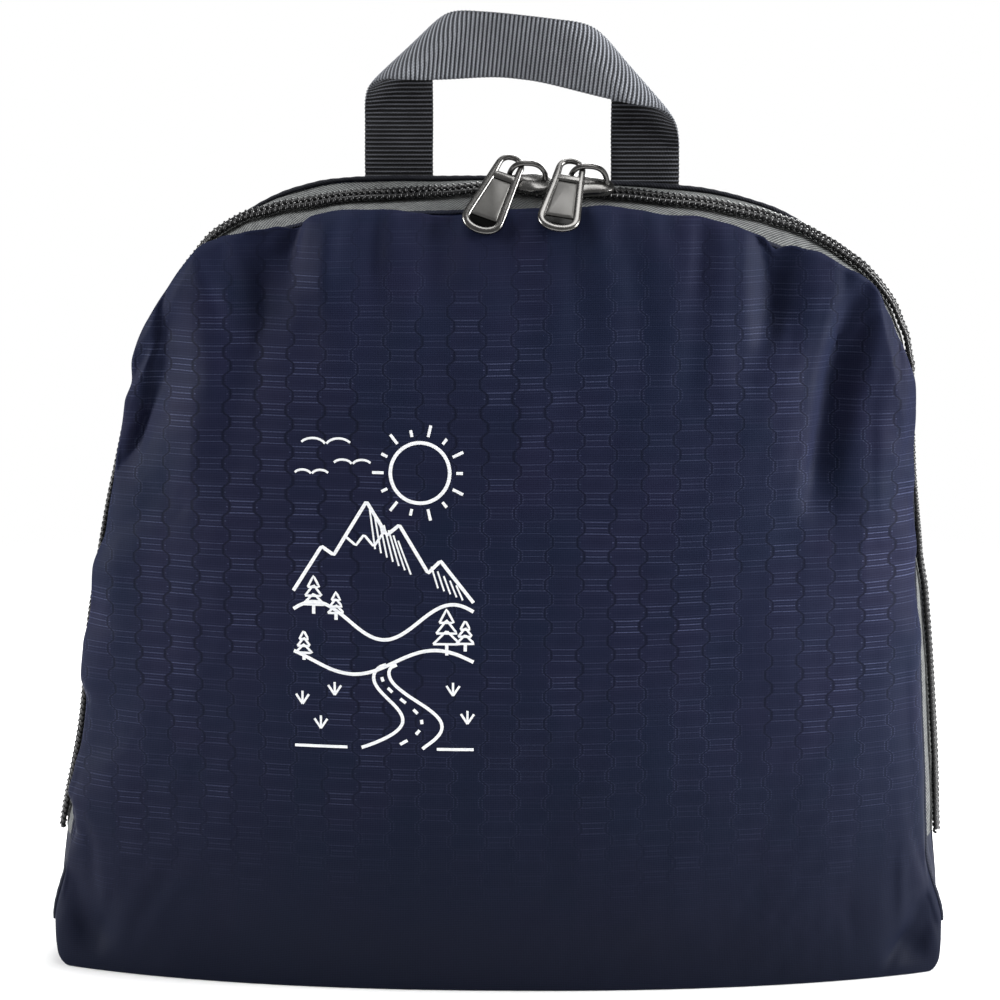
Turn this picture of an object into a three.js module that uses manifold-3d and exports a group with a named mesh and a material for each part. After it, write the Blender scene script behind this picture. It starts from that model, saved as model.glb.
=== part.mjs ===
// A packable backpack folded into its own zipped pouch, standing on its base with its webbing handle up.
// Millimetres, +Z up, front towards -Y. The origin is on the floor, under the middle of the whole object.

import * as THREE from "three";
import Module from "manifold-3d";
import { mergeVertices } from "three/addons/utils/BufferGeometryUtils.js";

// Driving sizes of the pouch
const bodyHalfWidth = 118.5; // widest half of the back seam, near the floor
const bodyHeight = 201; // floor to the back seam at the top
const backSeamY = 17; // the back seam's plane, with the front seam at Y 0
const baseBow = 22; // how far the front panel stands forward of the front seam, at the floor
const bellyDepth = 28; // the same at the fullest height
const backBulge = 4.5; // how far the packed cloth pushes the back panel out
const cloth = 1.2; // wall of the nylon panels
const seamGap = 0.3; // running gap between neighbouring pieces

// The zip band between the two seams
const topDrop = 7.4; // the front seam lies this much lower than the back seam at the top
const sideFlare = 4.5; // and this much further in at the sides
const bandCrown = 1; // how far the band bows outwards between its seams
const tapeThickness = 0.8;
const coilWidth = 2.7; // one row
const coilHeight = 1.8;
const zipOpening = 1.8; // half the gap between the rows where the two sliders meet
const bindingRadius = 0.8;

// The folded backpack inside
const packInset = 10; // from the seams
const creaseRoom = 5; // left for the front panel's folds

// Sliders and pulls
const sliderLength = 13;
const sliderRearWidth = 8;
const sliderFrontWidth = 10.4;
const sliderPlate = 1.1;
const sliderSpacing = 15.1; // from one slider's middle to the other's
const slidersMiddleX = 13.3; // the point between the sliders, right of the pouch's middle
const flangeWidth = 0.7;
const postWidth = 1.6;
const postLength = 3;
const bridgeHeight = 6.2;
const bridgeSpan = 10.4;
const bridgeBar = 1.3;
const bridgeWidth = 1.5;
const hookRise = 3.4; // from the slider's plate to where the pull turns
const pullLength = 24.6;
const pullEyeWidth = 7.4;
const pullEndWidth = 10.6;
const pullThickness = 1.4;
const pullEyeHalfWidth = 2.2;
const pullEyeHalfLength = 2.4;
const pullRecess = 0.5;
const pullPlateLength = 10.4;
const pullSlotLength = 2.4; // the dark end of the recess, below the plate
const pullRim = 1.9;
const pullEyeRim = 1.2;
// How each pull rests. lean: degrees from plumb, seen from the front. drop: degrees below level.
const pullRest = {
  left: { lean: 22, drop: 52 },
  right: { lean: 10, drop: 43 },
};

// The webbing handle
const strapWidth = 17.2;
const strapThickness = 1.3;
const strapRoll = 5.6; // radius of the soft fold at each top corner
const strapTail = 14; // sewn down behind the back panel
const leftLegX = -26.6;
const rightLegX = 35.4;
const leftLegRise = 34; // from the back seam to where the strap's middle lines cross
const rightLegRise = 29;

// The back seam's outline, seen from the front and running from the middle of the base round by the left.
// across: share of bodyHalfWidth. up: share of bodyHeight. tuck: share of the band's inset that shows there.
const outlineTable = [
  { across: 0, up: 0, tuck: 0 },
  { across: -0.286, up: 0, tuck: 0 },
  { across: -0.591, up: 0, tuck: 0 },
  { across: -0.906, up: 0, tuck: 0 },
  { across: -1.002, up: 0.05, tuck: 0.2 },
  { across: -0.973, up: 0.16, tuck: 0.9 },
  { across: -0.93, up: 0.3, tuck: 1 },
  { across: -0.889, up: 0.46, tuck: 0.6 },
  { across: -0.826, up: 0.63, tuck: 0.35 },
  { across: -0.742, up: 0.8, tuck: 0.25 },
  { across: -0.61, up: 0.922, tuck: 0.7 },
  { across: -0.42, up: 0.985, tuck: 1 },
  { across: -0.114, up: 1, tuck: 1 },
  { across: 0.191, up: 0.995, tuck: 1 },
  { across: 0.429, up: 0.982, tuck: 1 },
  { across: 0.625, up: 0.942, tuck: 1 },
  { across: 0.777, up: 0.865, tuck: 0.9 },
  { across: 0.86, up: 0.76, tuck: 0.6 },
  { across: 0.875, up: 0.63, tuck: 0.35 },
  { across: 0.911, up: 0.46, tuck: 0.8 },
  { across: 0.939, up: 0.3, tuck: 1 },
  { across: 0.965, up: 0.16, tuck: 1 },
  { across: 0.987, up: 0.05, tuck: 0.2 },
  { across: 0.896, up: 0, tuck: 0 },
  { across: 0.572, up: 0, tuck: 0 },
  { across: 0.286, up: 0, tuck: 0 },
];
// Rows of the table that end the base, the zip and the shoulders
const baseLeftRow = 4;
const zipLeftRow = 5;
const shoulderLeftRow = 9;
const shoulderRightRow = 17;
const zipRightRow = 21;
const baseRightRow = 22;

// How far the front stands forward of the seam, by height. depth: share of bellyDepth.
const profileTable = [
  { up: 0.0, depth: baseBow / bellyDepth },
  { up: 0.12, depth: 0.92 },
  { up: 0.32, depth: 1.0 },
  { up: 0.52, depth: 0.95 },
  { up: 0.7, depth: 0.79 },
  { up: 0.84, depth: 0.56 },
  { up: 0.93, depth: 0.28 },
  { up: 0.97, depth: 0.13 },
  { up: 1.0, depth: 0.0 },
];

// Creases of the front panel. across, up: shares of bodyHalfWidth and bodyHeight at the crease's two ends.
// width, depth: shares of bellyDepth, with depth above 0 for a valley and below 0 for a ridge.
const creaseTable = [
  { across: -0.69, up: 0.86, toAcross: -0.79, toUp: 0.65, width: 0.18, depth: 0.15 },
  { across: -0.58, up: 0.9, toAcross: -0.66, toUp: 0.64, width: 0.24, depth: -0.09 },
  { across: 0.72, up: 0.885, toAcross: 0.64, toUp: 0.62, width: 0.18, depth: 0.13 },
  { across: 0.8, up: 0.8, toAcross: 0.76, toUp: 0.58, width: 0.24, depth: -0.08 },
  { across: 0.555, up: 0.93, toAcross: 0.56, toUp: 0.81, width: 0.16, depth: 0.12 },
  { across: -0.445, up: 0.94, toAcross: -0.51, toUp: 0.82, width: 0.18, depth: 0.1 },
  { across: -0.36, up: 0.95, toAcross: -0.38, toUp: 0.86, width: 0.14, depth: -0.05 },
  { across: 0.93, up: 0.1, toAcross: 0.86, toUp: 0.02, width: 0.2, depth: 0.14 },
  { across: -0.94, up: 0.13, toAcross: -0.88, toUp: 0.03, width: 0.2, depth: 0.12 },
];
const foldLimit = 0.5; // no valley is deeper than this share of the panel's own depth there
const gatherPitch = 15.5; // along the top seam
const gatherDepth = 1.3;
const gatherReach = 11; // below the seam, where the gathers are deepest

// How finely the solids are cut
const panelColumns = 46;
const panelRows = 20;
const backColumns = 18;
const backRows = 14;
const zipSteps = 54;
const rollSteps = 12;

const wasm = await Module();
wasm.setup();

const materials = {
  cloth: new THREE.MeshStandardMaterial({ color: 0x1f2640, roughness: 0.55, metalness: 0 }),
  pack: new THREE.MeshStandardMaterial({ color: 0x1c2238, roughness: 0.7, metalness: 0 }),
  tape: new THREE.MeshStandardMaterial({ color: 0x6f7274, roughness: 0.85, metalness: 0 }),
  coil: new THREE.MeshStandardMaterial({ color: 0x17181a, roughness: 0.4, metalness: 0 }),
  binding: new THREE.MeshStandardMaterial({ color: 0x15181f, roughness: 0.8, metalness: 0 }),
  webbing: new THREE.MeshStandardMaterial({ color: 0x54575c, roughness: 0.8, metalness: 0 }),
  metal: new THREE.MeshStandardMaterial({ color: 0x6b6965, roughness: 0.25, metalness: 1 }),
};

const lerp = THREE.MathUtils.lerp;
const clamp01 = (x) => Math.min(1, Math.max(0, x));
const smooth = (low, high, x) => THREE.MathUtils.smoothstep(x, low, high);
const vector = (x, y, z) => new THREE.Vector3(x, y, z);

// A smooth curve through a table's column, read at a height share.
function readProfile(table, column, up) {
  let row = 0;
  while (row < table.length - 2 && table[row + 1].up < up) row += 1;
  const a = table[row];
  const b = table[row + 1];
  const before = table[Math.max(0, row - 1)];
  const after = table[Math.min(table.length - 1, row + 2)];
  const span = b.up - a.up;
  const slopeA = row > 0 ? (b[column] - before[column]) / (b.up - before.up) : 0;
  const slopeB = (after[column] - a[column]) / (after.up - a.up);
  const t = clamp01((up - a.up) / span);
  const t2 = t * t;
  const t3 = t2 * t;
  const ends = (2 * t3 - 3 * t2 + 1) * a[column] + (3 * t2 - 2 * t3) * b[column];
  return ends + span * ((t3 - 2 * t2 + t) * slopeA + (t3 - t2) * slopeB);
}

// The outline as a closed curve, measured by its length from the middle of the base.
const rowCount = outlineTable.length;
const outline = new THREE.CatmullRomCurve3(
  outlineTable.map((row) => vector(row.across * bodyHalfWidth, 0, row.up * bodyHeight)),
  true,
  "centripetal",
);
const samplesPerRow = 24;
const outlineLengths = outline.getLengths(rowCount * samplesPerRow);
const outlineLength = outlineLengths[outlineLengths.length - 1];
const shareOfRow = (row) => outlineLengths[row * samplesPerRow] / outlineLength;

// Which table row, with its fraction, a share of the outline's length falls on.
function rowOfShare(share) {
  const wanted = THREE.MathUtils.euclideanModulo(share, 1) * outlineLength;
  let i = outlineLengths.findIndex((length) => length > wanted);
  if (i < 1) i = outlineLengths.length - 1;
  const before = outlineLengths[i - 1];
  return (i - 1 + (wanted - before) / (outlineLengths[i] - before)) / samplesPerRow;
}

function tuckAt(share) {
  const row = rowOfShare(share);
  const a = outlineTable[Math.floor(row) % rowCount].tuck;
  const b = outlineTable[(Math.floor(row) + 1) % rowCount].tuck;
  return lerp(a, b, smooth(0, 1, row - Math.floor(row)));
}

// Point, direction of travel and outward direction of the back seam, in its own plane.
function seamFrame(share) {
  const row = rowOfShare(share);
  const point = outline.getPoint(row / rowCount);
  const along = outline.getTangent(row / rowCount);
  point.z = Math.max(point.z, 0);
  return { point, along, out: vector(-along.z, 0, along.x) };
}

// The back seam moved inwards by a distance, at a depth. The floor stays the floor.
function seamPoint(share, inset, y) {
  const { point, out } = seamFrame(share);
  const sideways = inset * (1 - smooth(0.3, 0.95, -out.z));
  const moved = point.clone().addScaledVector(out, -sideways);
  return vector(moved.x, y, Math.max(moved.z, 0));
}

function frontInset(share) {
  const { out } = seamFrame(share);
  return tuckAt(share) * lerp(sideFlare, topDrop, clamp01(out.z) ** 2);
}

const frontSeam = (share) => seamPoint(share, frontInset(share), 0);
const backSeam = (share) => seamPoint(share, 0, backSeamY);

// The zip band's outer surface: across runs from 0 at the front seam to 1 at the back seam.
function bandPoint(share, across) {
  const { out } = seamFrame(share);
  const crown = bandCrown * 4 * across * (1 - across) * (1 - clamp01(-out.z * 2));
  return frontSeam(share).lerp(backSeam(share), across).addScaledVector(out, crown);
}

function bandFrame(share, across) {
  const step = 1e-3;
  const point = bandPoint(share, across);
  const along = bandPoint(share + step, across).sub(bandPoint(share - step, across)).normalize();
  const back = bandPoint(share, across + step).sub(bandPoint(share, across - step)).normalize();
  const out = along.clone().cross(back).normalize();
  return { point, along, back: out.clone().cross(along).normalize(), out };
}

const bandWidth = (share) => frontSeam(share).distanceTo(backSeam(share));

// A closed body from an outer and an inner grid of points, each [row][column], joined round their edges.
function bodyBetween(outer, inner) {
  const rows = outer.length;
  const columns = outer[0].length;
  const positions = [];
  const faces = [];
  const points = [...outer.flat(), ...inner.flat()];
  points.forEach((p) => positions.push(p.x, p.y, p.z));
  const at = (side, i, j) => side * rows * columns + i * columns + j;
  const quad = (a, b, c, d) => faces.push(a, b, c, a, c, d);
  for (let i = 0; i < rows - 1; i += 1) {
    for (let j = 0; j < columns - 1; j += 1) {
      quad(at(0, i, j), at(0, i, j + 1), at(0, i + 1, j + 1), at(0, i + 1, j));
      quad(at(1, i, j), at(1, i + 1, j), at(1, i + 1, j + 1), at(1, i, j + 1));
    }
  }
  const lastColumn = columns - 1;
  const lastRow = rows - 1;
  for (let i = 0; i < lastRow; i += 1) {
    quad(at(0, i, 0), at(0, i + 1, 0), at(1, i + 1, 0), at(1, i, 0));
    quad(at(0, i, lastColumn), at(1, i, lastColumn), at(1, i + 1, lastColumn), at(0, i + 1, lastColumn));
  }
  for (let j = 0; j < lastColumn; j += 1) {
    quad(at(0, 0, j), at(1, 0, j), at(1, 0, j + 1), at(0, 0, j + 1));
    quad(at(0, lastRow, j), at(0, lastRow, j + 1), at(1, lastRow, j + 1), at(1, lastRow, j));
  }
  return new THREE.BufferGeometry()
    .setAttribute("position", new THREE.Float32BufferAttribute(positions, 3))
    .setIndex(faces);
}

// A closed body swept through sections, each a ring of the same number of points.
function sweptBody(sections) {
  const sides = sections[0].length;
  const positions = sections.flat().flatMap((p) => [p.x, p.y, p.z]);
  const faces = [];
  for (let i = 0; i < sections.length - 1; i += 1) {
    for (let j = 0; j < sides; j += 1) {
      const a = i * sides + j;
      const b = i * sides + ((j + 1) % sides);
      faces.push(a, b, b + sides, a, b + sides, a + sides);
    }
  }
  const last = (sections.length - 1) * sides;
  for (let j = 1; j < sides - 1; j += 1) {
    faces.push(0, j + 1, j);
    faces.push(last, last + j, last + j + 1);
  }
  return new THREE.BufferGeometry()
    .setAttribute("position", new THREE.Float32BufferAttribute(positions, 3))
    .setIndex(faces);
}

function solidOf(geometry) {
  const bare = geometry.clone();
  bare.deleteAttribute("normal");
  bare.deleteAttribute("uv");
  const merged = mergeVertices(bare, 1e-4);
  const corners = merged.index.array;
  const faces = [];
  for (let i = 0; i < corners.length; i += 3) {
    const [a, b, c] = corners.slice(i, i + 3);
    if (a !== b && b !== c && c !== a) faces.push(a, b, c);
  }
  return new wasm.Manifold(
    new wasm.Mesh({
      numProp: 3,
      vertProperties: new Float32Array(merged.attributes.position.array),
      triVerts: new Uint32Array(faces),
    }),
  );
}

function geometryOf(solid) {
  const mesh = solid.getMesh();
  return new THREE.BufferGeometry()
    .setAttribute("position", new THREE.Float32BufferAttribute(mesh.vertProperties, 3))
    .setIndex(new THREE.BufferAttribute(mesh.triVerts, 1));
}

const pouch = new THREE.Group();

function addPiece(name, geometry, material) {
  const mesh = new THREE.Mesh(geometry, material);
  mesh.name = name;
  pouch.add(mesh);
  return mesh;
}

// A point inside an outline from its four edges: base, shoulder to shoulder, and the two sides.
function patchPoint(edge, across, up) {
  const corner = {
    baseLeft: shareOfRow(baseLeftRow),
    baseRight: shareOfRow(baseRightRow) - 1,
    left: shareOfRow(shoulderLeftRow),
    right: shareOfRow(shoulderRightRow),
  };
  const base = edge(lerp(corner.baseLeft, corner.baseRight, across));
  const top = edge(lerp(corner.left, corner.right, across));
  const left = edge(lerp(corner.baseLeft, corner.left, up));
  const right = edge(lerp(corner.baseRight + 1, corner.right, up));
  const leftEnd = edge(corner.baseLeft).lerp(edge(corner.left), up);
  const rightEnd = edge(corner.baseRight).lerp(edge(corner.right), up);
  return base
    .lerp(top, up)
    .add(left.lerp(right, across))
    .sub(leftEnd.lerp(rightEnd, across));
}

// Closer rows and columns near the edges, where the cloth turns.
const edgeShare = 0.12;
function acrossShare(j, columns) {
  const angle = Math.PI * lerp(edgeShare, 1 - edgeShare, j / columns);
  return 0.5 - (0.5 * Math.cos(angle)) / Math.cos(edgeShare * Math.PI);
}
const upShare = (i, rows) => Math.sin((Math.PI / 2) * (i / rows) ** 1.15);

function creaseDepth(x, z) {
  let depth = 0;
  for (const crease of creaseTable) {
    const start = new THREE.Vector2(crease.across * bodyHalfWidth, crease.up * bodyHeight);
    const end = new THREE.Vector2(crease.toAcross * bodyHalfWidth, crease.toUp * bodyHeight);
    const run = end.clone().sub(start);
    const t = new THREE.Vector2(x, z).sub(start).dot(run) / run.lengthSq();
    const aside = new THREE.Vector2(x, z).distanceTo(start.clone().addScaledVector(run, clamp01(t)));
    const taper = smooth(-0.25, 0.3, t) * (1 - smooth(0.7, 1.25, t));
    depth += crease.depth * bellyDepth * taper * Math.exp(-((aside / (crease.width * bellyDepth)) ** 2));
  }
  return depth;
}

// The front panel's outer surface. across and up run from 0 to 1 over the panel.
function panelPoint(across, up, withFolds = true) {
  const flat = patchPoint(frontSeam, across, up);
  const side = Math.abs(2 * across - 1);
  const fullness = (1 - side ** 2.2) ** 0.78;
  const depth = bellyDepth * readProfile(profileTable, "depth", up) * fullness;
  if (!withFolds) return vector(flat.x, -depth, flat.z);
  const below = (1 - up) * bodyHeight;
  const nearTop = (below / gatherReach) * Math.exp(1 - below / gatherReach);
  const gathers = gatherDepth * nearTop * Math.cos((2 * Math.PI * flat.x) / gatherPitch);
  const inside = smooth(0, 0.06, 1 - side) * smooth(0, 0.03, 1 - up) * smooth(0, 0.03, up);
  const folds = inside * Math.min(creaseDepth(flat.x, flat.z) + gathers, foldLimit * depth);
  return vector(flat.x, folds - depth, flat.z);
}

// Where the panel's wall lies from its outer face. At its edges it follows the band, and the floor.
function panelInward(across, up) {
  const step = 2e-3;
  const a = clamp01(across - step);
  const b = clamp01(across + step);
  const c = clamp01(up - step);
  const d = clamp01(up + step);
  const sideways = panelPoint(b, up).sub(panelPoint(a, up));
  const upwards = panelPoint(across, d).sub(panelPoint(across, c));
  const inward = upwards.cross(sideways).normalize();
  const side = Math.abs(2 * across - 1);
  const onBase = up === 0;
  const onRim = up === 1 || side === 1;
  if (onRim) {
    const share = rimShare(across, up);
    inward.copy(bandFrame(share, 0).out).negate();
  }
  if (onBase) {
    inward.lerp(vector(0, 1, 0), 1 - smooth(0.8, 1, side));
    inward.z = 0;
    inward.normalize();
  }
  return inward;
}

// The outline share that a point on the patch's edge stands on.
function rimShare(across, up) {
  if (up === 1) return lerp(shareOfRow(shoulderLeftRow), shareOfRow(shoulderRightRow), across);
  if (across === 0) return lerp(shareOfRow(baseLeftRow), shareOfRow(shoulderLeftRow), up);
  return lerp(shareOfRow(baseRightRow), shareOfRow(shoulderRightRow), up);
}

function gridOf(columns, rows, pointAt) {
  const grid = [];
  for (let i = 0; i <= rows; i += 1) {
    const up = i === rows ? 1 : upShare(i, rows);
    const line = [];
    for (let j = 0; j <= columns; j += 1) {
      const across = j === 0 ? 0 : j === columns ? 1 : acrossShare(j, columns);
      line.push(pointAt(across, up));
    }
    grid.push(line);
  }
  return grid;
}

function addFrontPanel() {
  const outer = gridOf(panelColumns, panelRows, (across, up) => panelPoint(across, up));
  const inner = gridOf(panelColumns, panelRows, (across, up) =>
    panelPoint(across, up).addScaledVector(panelInward(across, up), cloth),
  );
  addPiece("front_panel", bodyBetween(outer, inner), materials.cloth);
}

// The back panel bulges inside a flat sewn margin.
function backPanelY(across, up) {
  const margin = (x) => smooth(0.1, 0.5, x);
  return backSeamY + backBulge * margin(Math.min(across, 1 - across) * 2) * margin(up) * margin(1 - up);
}

function addBackPanel() {
  const at = (across, up, offset) => {
    const flat = patchPoint(backSeam, across, up);
    return vector(flat.x, backPanelY(across, up) - offset, flat.z);
  };
  const outer = gridOf(backColumns, backRows, (across, up) => at(across, up, cloth));
  const inner = gridOf(backColumns, backRows, (across, up) => at(across, up, 0));
  addPiece("back_panel", bodyBetween(outer, inner), materials.cloth);
}

// The cloth strip under the pouch, which turns up at both sides as far as the zip's ends.
function addBaseGusset() {
  const steps = 36;
  const widthSteps = 3;
  const step = 1e-3;
  const backMargin = cloth + seamGap;
  const from = shareOfRow(zipLeftRow);
  const to = shareOfRow(zipRightRow) - 1;
  const outer = [];
  const inner = [];
  for (let i = 0; i <= steps; i += 1) {
    const share = lerp(from, to, i / steps);
    const slope = (frontReach(share + step) - frontReach(share - step)) / (2 * step * outlineLength);
    const frontMargin = Math.min(2.6, Math.hypot(1, slope)) * (cloth + 2 * seamGap);
    const front = frontSeam(share);
    front.y -= frontReach(share);
    const back = backSeam(share);
    const width = front.distanceTo(back);
    const inward = seamFrame(share).out.clone().negate();
    const line = [];
    for (let j = 0; j <= widthSteps; j += 1) {
      line.push(front.clone().lerp(back, lerp(frontMargin / width, 1 - backMargin / width, j / widthSteps)));
    }
    outer.push(line);
    inner.push(line.map((p) => p.clone().addScaledVector(inward, cloth)));
  }
  addPiece("base_gusset", bodyBetween(outer, inner), materials.cloth);
}

// Where a share of the outline falls on the front panel's lower edge, 0 to 1 from left to right.
function baseAcross(share) {
  const left = shareOfRow(baseLeftRow);
  const right = shareOfRow(baseRightRow) - 1;
  return clamp01((share - left) / (right - left));
}

// How far that edge stands forward of the front seam.
const frontReach = (share) => -panelPoint(baseAcross(share), 0, false).y;

// Shares along the zip, with closer steps where the sliders part its rows.
const zipFrom = shareOfRow(zipLeftRow) + 1.2 / outlineLength;
const zipTo = shareOfRow(zipRightRow) - 1.2 / outlineLength;
function shareOfTopX(x) {
  let low = shareOfRow(shoulderLeftRow);
  let high = shareOfRow(shoulderRightRow);
  for (let i = 0; i < 40; i += 1) {
    const middle = (low + high) / 2;
    if (outline.getPoint(rowOfShare(middle) / rowCount).x < x) low = middle;
    else high = middle;
  }
  return (low + high) / 2;
}
const meetingShare = shareOfTopX(slidersMiddleX);
const partingReach = sliderSpacing / 2 + sliderLength / 4;
const partingShare = partingReach / outlineLength;

function zipShares(steps) {
  const shares = [];
  for (let i = 0; i <= steps; i += 1) shares.push(lerp(zipFrom, zipTo, i / steps));
  const outside = shares.filter((share) => Math.abs(share - meetingShare) > partingShare);
  for (let i = -5; i <= 5; i += 1) outside.push(meetingShare + (partingShare * i) / 5);
  return outside.sort((a, b) => a - b);
}

function partingAt(share) {
  const apart = Math.abs(share - meetingShare) / partingShare;
  return apart < 1 ? zipOpening * (0.5 + 0.5 * Math.cos(Math.PI * apart)) : 0;
}

// A flat tape from a seam to the zip's middle. side: -1 for the front one, 1 for the back one.
function addTape(name, side) {
  const outer = [];
  const inner = [];
  const widthSteps = 2;
  for (const share of zipShares(zipSteps)) {
    const width = bandWidth(share);
    const margin = side < 0 ? seamGap : cloth + 3 * seamGap;
    const edge = 0.5 + side * (0.5 - margin / width);
    const middle = 0.5 + (side * (seamGap / 2 + partingAt(share))) / width;
    const line = [];
    const under = [];
    for (let j = 0; j <= widthSteps; j += 1) {
      const across = lerp(edge, middle, j / widthSteps);
      const frame = bandFrame(share, across);
      line.push(frame.point);
      under.push(frame.point.clone().addScaledVector(frame.out, -tapeThickness));
    }
    outer.push(line);
    inner.push(under);
  }
  addPiece(name, side < 0 ? bodyBetween(inner, outer) : bodyBetween(outer, inner), materials.tape);
}

// One row of the coil, as a half-round bead beside the zip's middle.
function addCoil(name, side) {
  const profile = [
    { across: -0.5, up: 0 },
    { across: 0.5, up: 0 },
    { across: 0.5, up: 0.55 },
    { across: 0.18, up: 1 },
    { across: -0.18, up: 1 },
    { across: -0.5, up: 0.55 },
  ];
  const sections = zipShares(zipSteps).map((share) => {
    const frame = bandFrame(share, 0.5);
    const middle = side * ((seamGap + coilWidth) / 2 + partingAt(share));
    return profile.map((p) =>
      frame.point
        .clone()
        .addScaledVector(frame.back, middle + p.across * coilWidth)
        .addScaledVector(frame.out, seamGap + p.up * coilHeight),
    );
  });
  addPiece(name, sweptBody(sections), materials.coil);
}

// The bound edge of the back seam, a thin round bead just outside it.
function addBinding() {
  const sides = 6;
  const sections = zipShares(zipSteps).map((share) => {
    const { out } = seamFrame(share);
    const middle = backSeam(share).addScaledVector(out, seamGap + bindingRadius);
    middle.y -= bindingRadius;
    const ring = [];
    for (let j = 0; j < sides; j += 1) {
      const angle = (-2 * Math.PI * (j + 0.5)) / sides;
      ring.push(
        middle
          .clone()
          .addScaledVector(out, bindingRadius * Math.cos(angle))
          .add(vector(0, bindingRadius * Math.sin(angle), 0)),
      );
    }
    return ring;
  });
  addPiece("back_binding", sweptBody(sections), materials.binding);
}

function box(width, depth, height, x, y, z) {
  return solidOf(new THREE.BoxGeometry(width, depth, height).translate(x, y, z));
}

// An upright plate of an outline drawn in X and Z, with its thickness along Y about a middle plane.
function plateXZ(shape, thickness, curveSegments = 6) {
  const geometry = new THREE.ExtrudeGeometry(shape, { depth: thickness, bevelEnabled: false, curveSegments });
  return solidOf(geometry.translate(0, 0, -thickness / 2).rotateX(Math.PI / 2));
}

// A slider in its own frame: X along the zip with the parting end at +X, Y across it, Z out of the cloth.
const plateUnder = seamGap * 2 + coilHeight;
const plateTop = plateUnder + sliderPlate;

function sliderSolid() {
  const half = sliderLength / 2;
  const rear = sliderRearWidth / 2;
  const front = sliderFrontWidth / 2;
  const plan = new THREE.Shape();
  plan.moveTo(-half + 1.5, -rear);
  plan.lineTo(-0.5, -rear);
  plan.quadraticCurveTo(1.5, -front, half - 1.5, -front);
  plan.quadraticCurveTo(half, -front, half, -front + 2);
  plan.lineTo(half, front - 2);
  plan.quadraticCurveTo(half, front, half - 1.5, front);
  plan.quadraticCurveTo(1.5, front, -0.5, rear);
  plan.lineTo(-half + 1.5, rear);
  plan.quadraticCurveTo(-half, rear, -half, rear - 1.5);
  plan.lineTo(-half, -rear + 1.5);
  plan.quadraticCurveTo(-half, -rear, -half + 1.5, -rear);
  const plate = solidOf(
    new THREE.ExtrudeGeometry(plan, { depth: sliderPlate, bevelEnabled: false, curveSegments: 3 }),
  );
  const under = -tapeThickness - 2 * seamGap - sliderPlate;
  const flangeHeight = plateUnder - seamGap * 1.5;
  let solid = plate.translate([0, 0, plateUnder]).add(plate.translate([0, 0, under]));
  for (const side of [-1, 1]) {
    const rearFlange = box(
      half - 1.5,
      flangeWidth,
      flangeHeight + 0.1,
      -half / 2 - 0.5,
      side * (rear - flangeWidth / 2),
      plateUnder - flangeHeight / 2 + 0.05,
    );
    const frontFlange = box(
      half - 2.5,
      flangeWidth,
      flangeHeight + 0.1,
      half / 2 + 0.5,
      side * (front - flangeWidth / 2),
      plateUnder - flangeHeight / 2 + 0.05,
    );
    solid = solid.add(rearFlange).add(frontFlange);
  }
  const postHeight = plateUnder + sliderPlate / 2 - under;
  const postX = half - 0.5 - postLength / 2;
  solid = solid.add(box(postLength, postWidth, postHeight, postX, 0, under + postHeight / 2));
  const arch = new THREE.Shape();
  const span = bridgeSpan / 2;
  const sink = sliderPlate / 2;
  arch.moveTo(-span, -sink);
  arch.lineTo(-span, bridgeHeight * 0.35);
  arch.quadraticCurveTo(-span, bridgeHeight, -span * 0.35, bridgeHeight);
  arch.lineTo(span * 0.35, bridgeHeight);
  arch.quadraticCurveTo(span, bridgeHeight, span, bridgeHeight * 0.35);
  arch.lineTo(span, -sink);
  arch.lineTo(span - bridgeBar, -sink);
  arch.lineTo(span - bridgeBar, bridgeHeight * 0.35);
  arch.quadraticCurveTo(span - bridgeBar, bridgeHeight - bridgeBar, span * 0.3, bridgeHeight - bridgeBar);
  arch.lineTo(-span * 0.3, bridgeHeight - bridgeBar);
  arch.quadraticCurveTo(-span + bridgeBar, bridgeHeight - bridgeBar, -span + bridgeBar, bridgeHeight * 0.35);
  arch.lineTo(-span + bridgeBar, -sink);
  return solid.add(plateXZ(arch, bridgeWidth).translate([0, 0, plateTop]));
}

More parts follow.
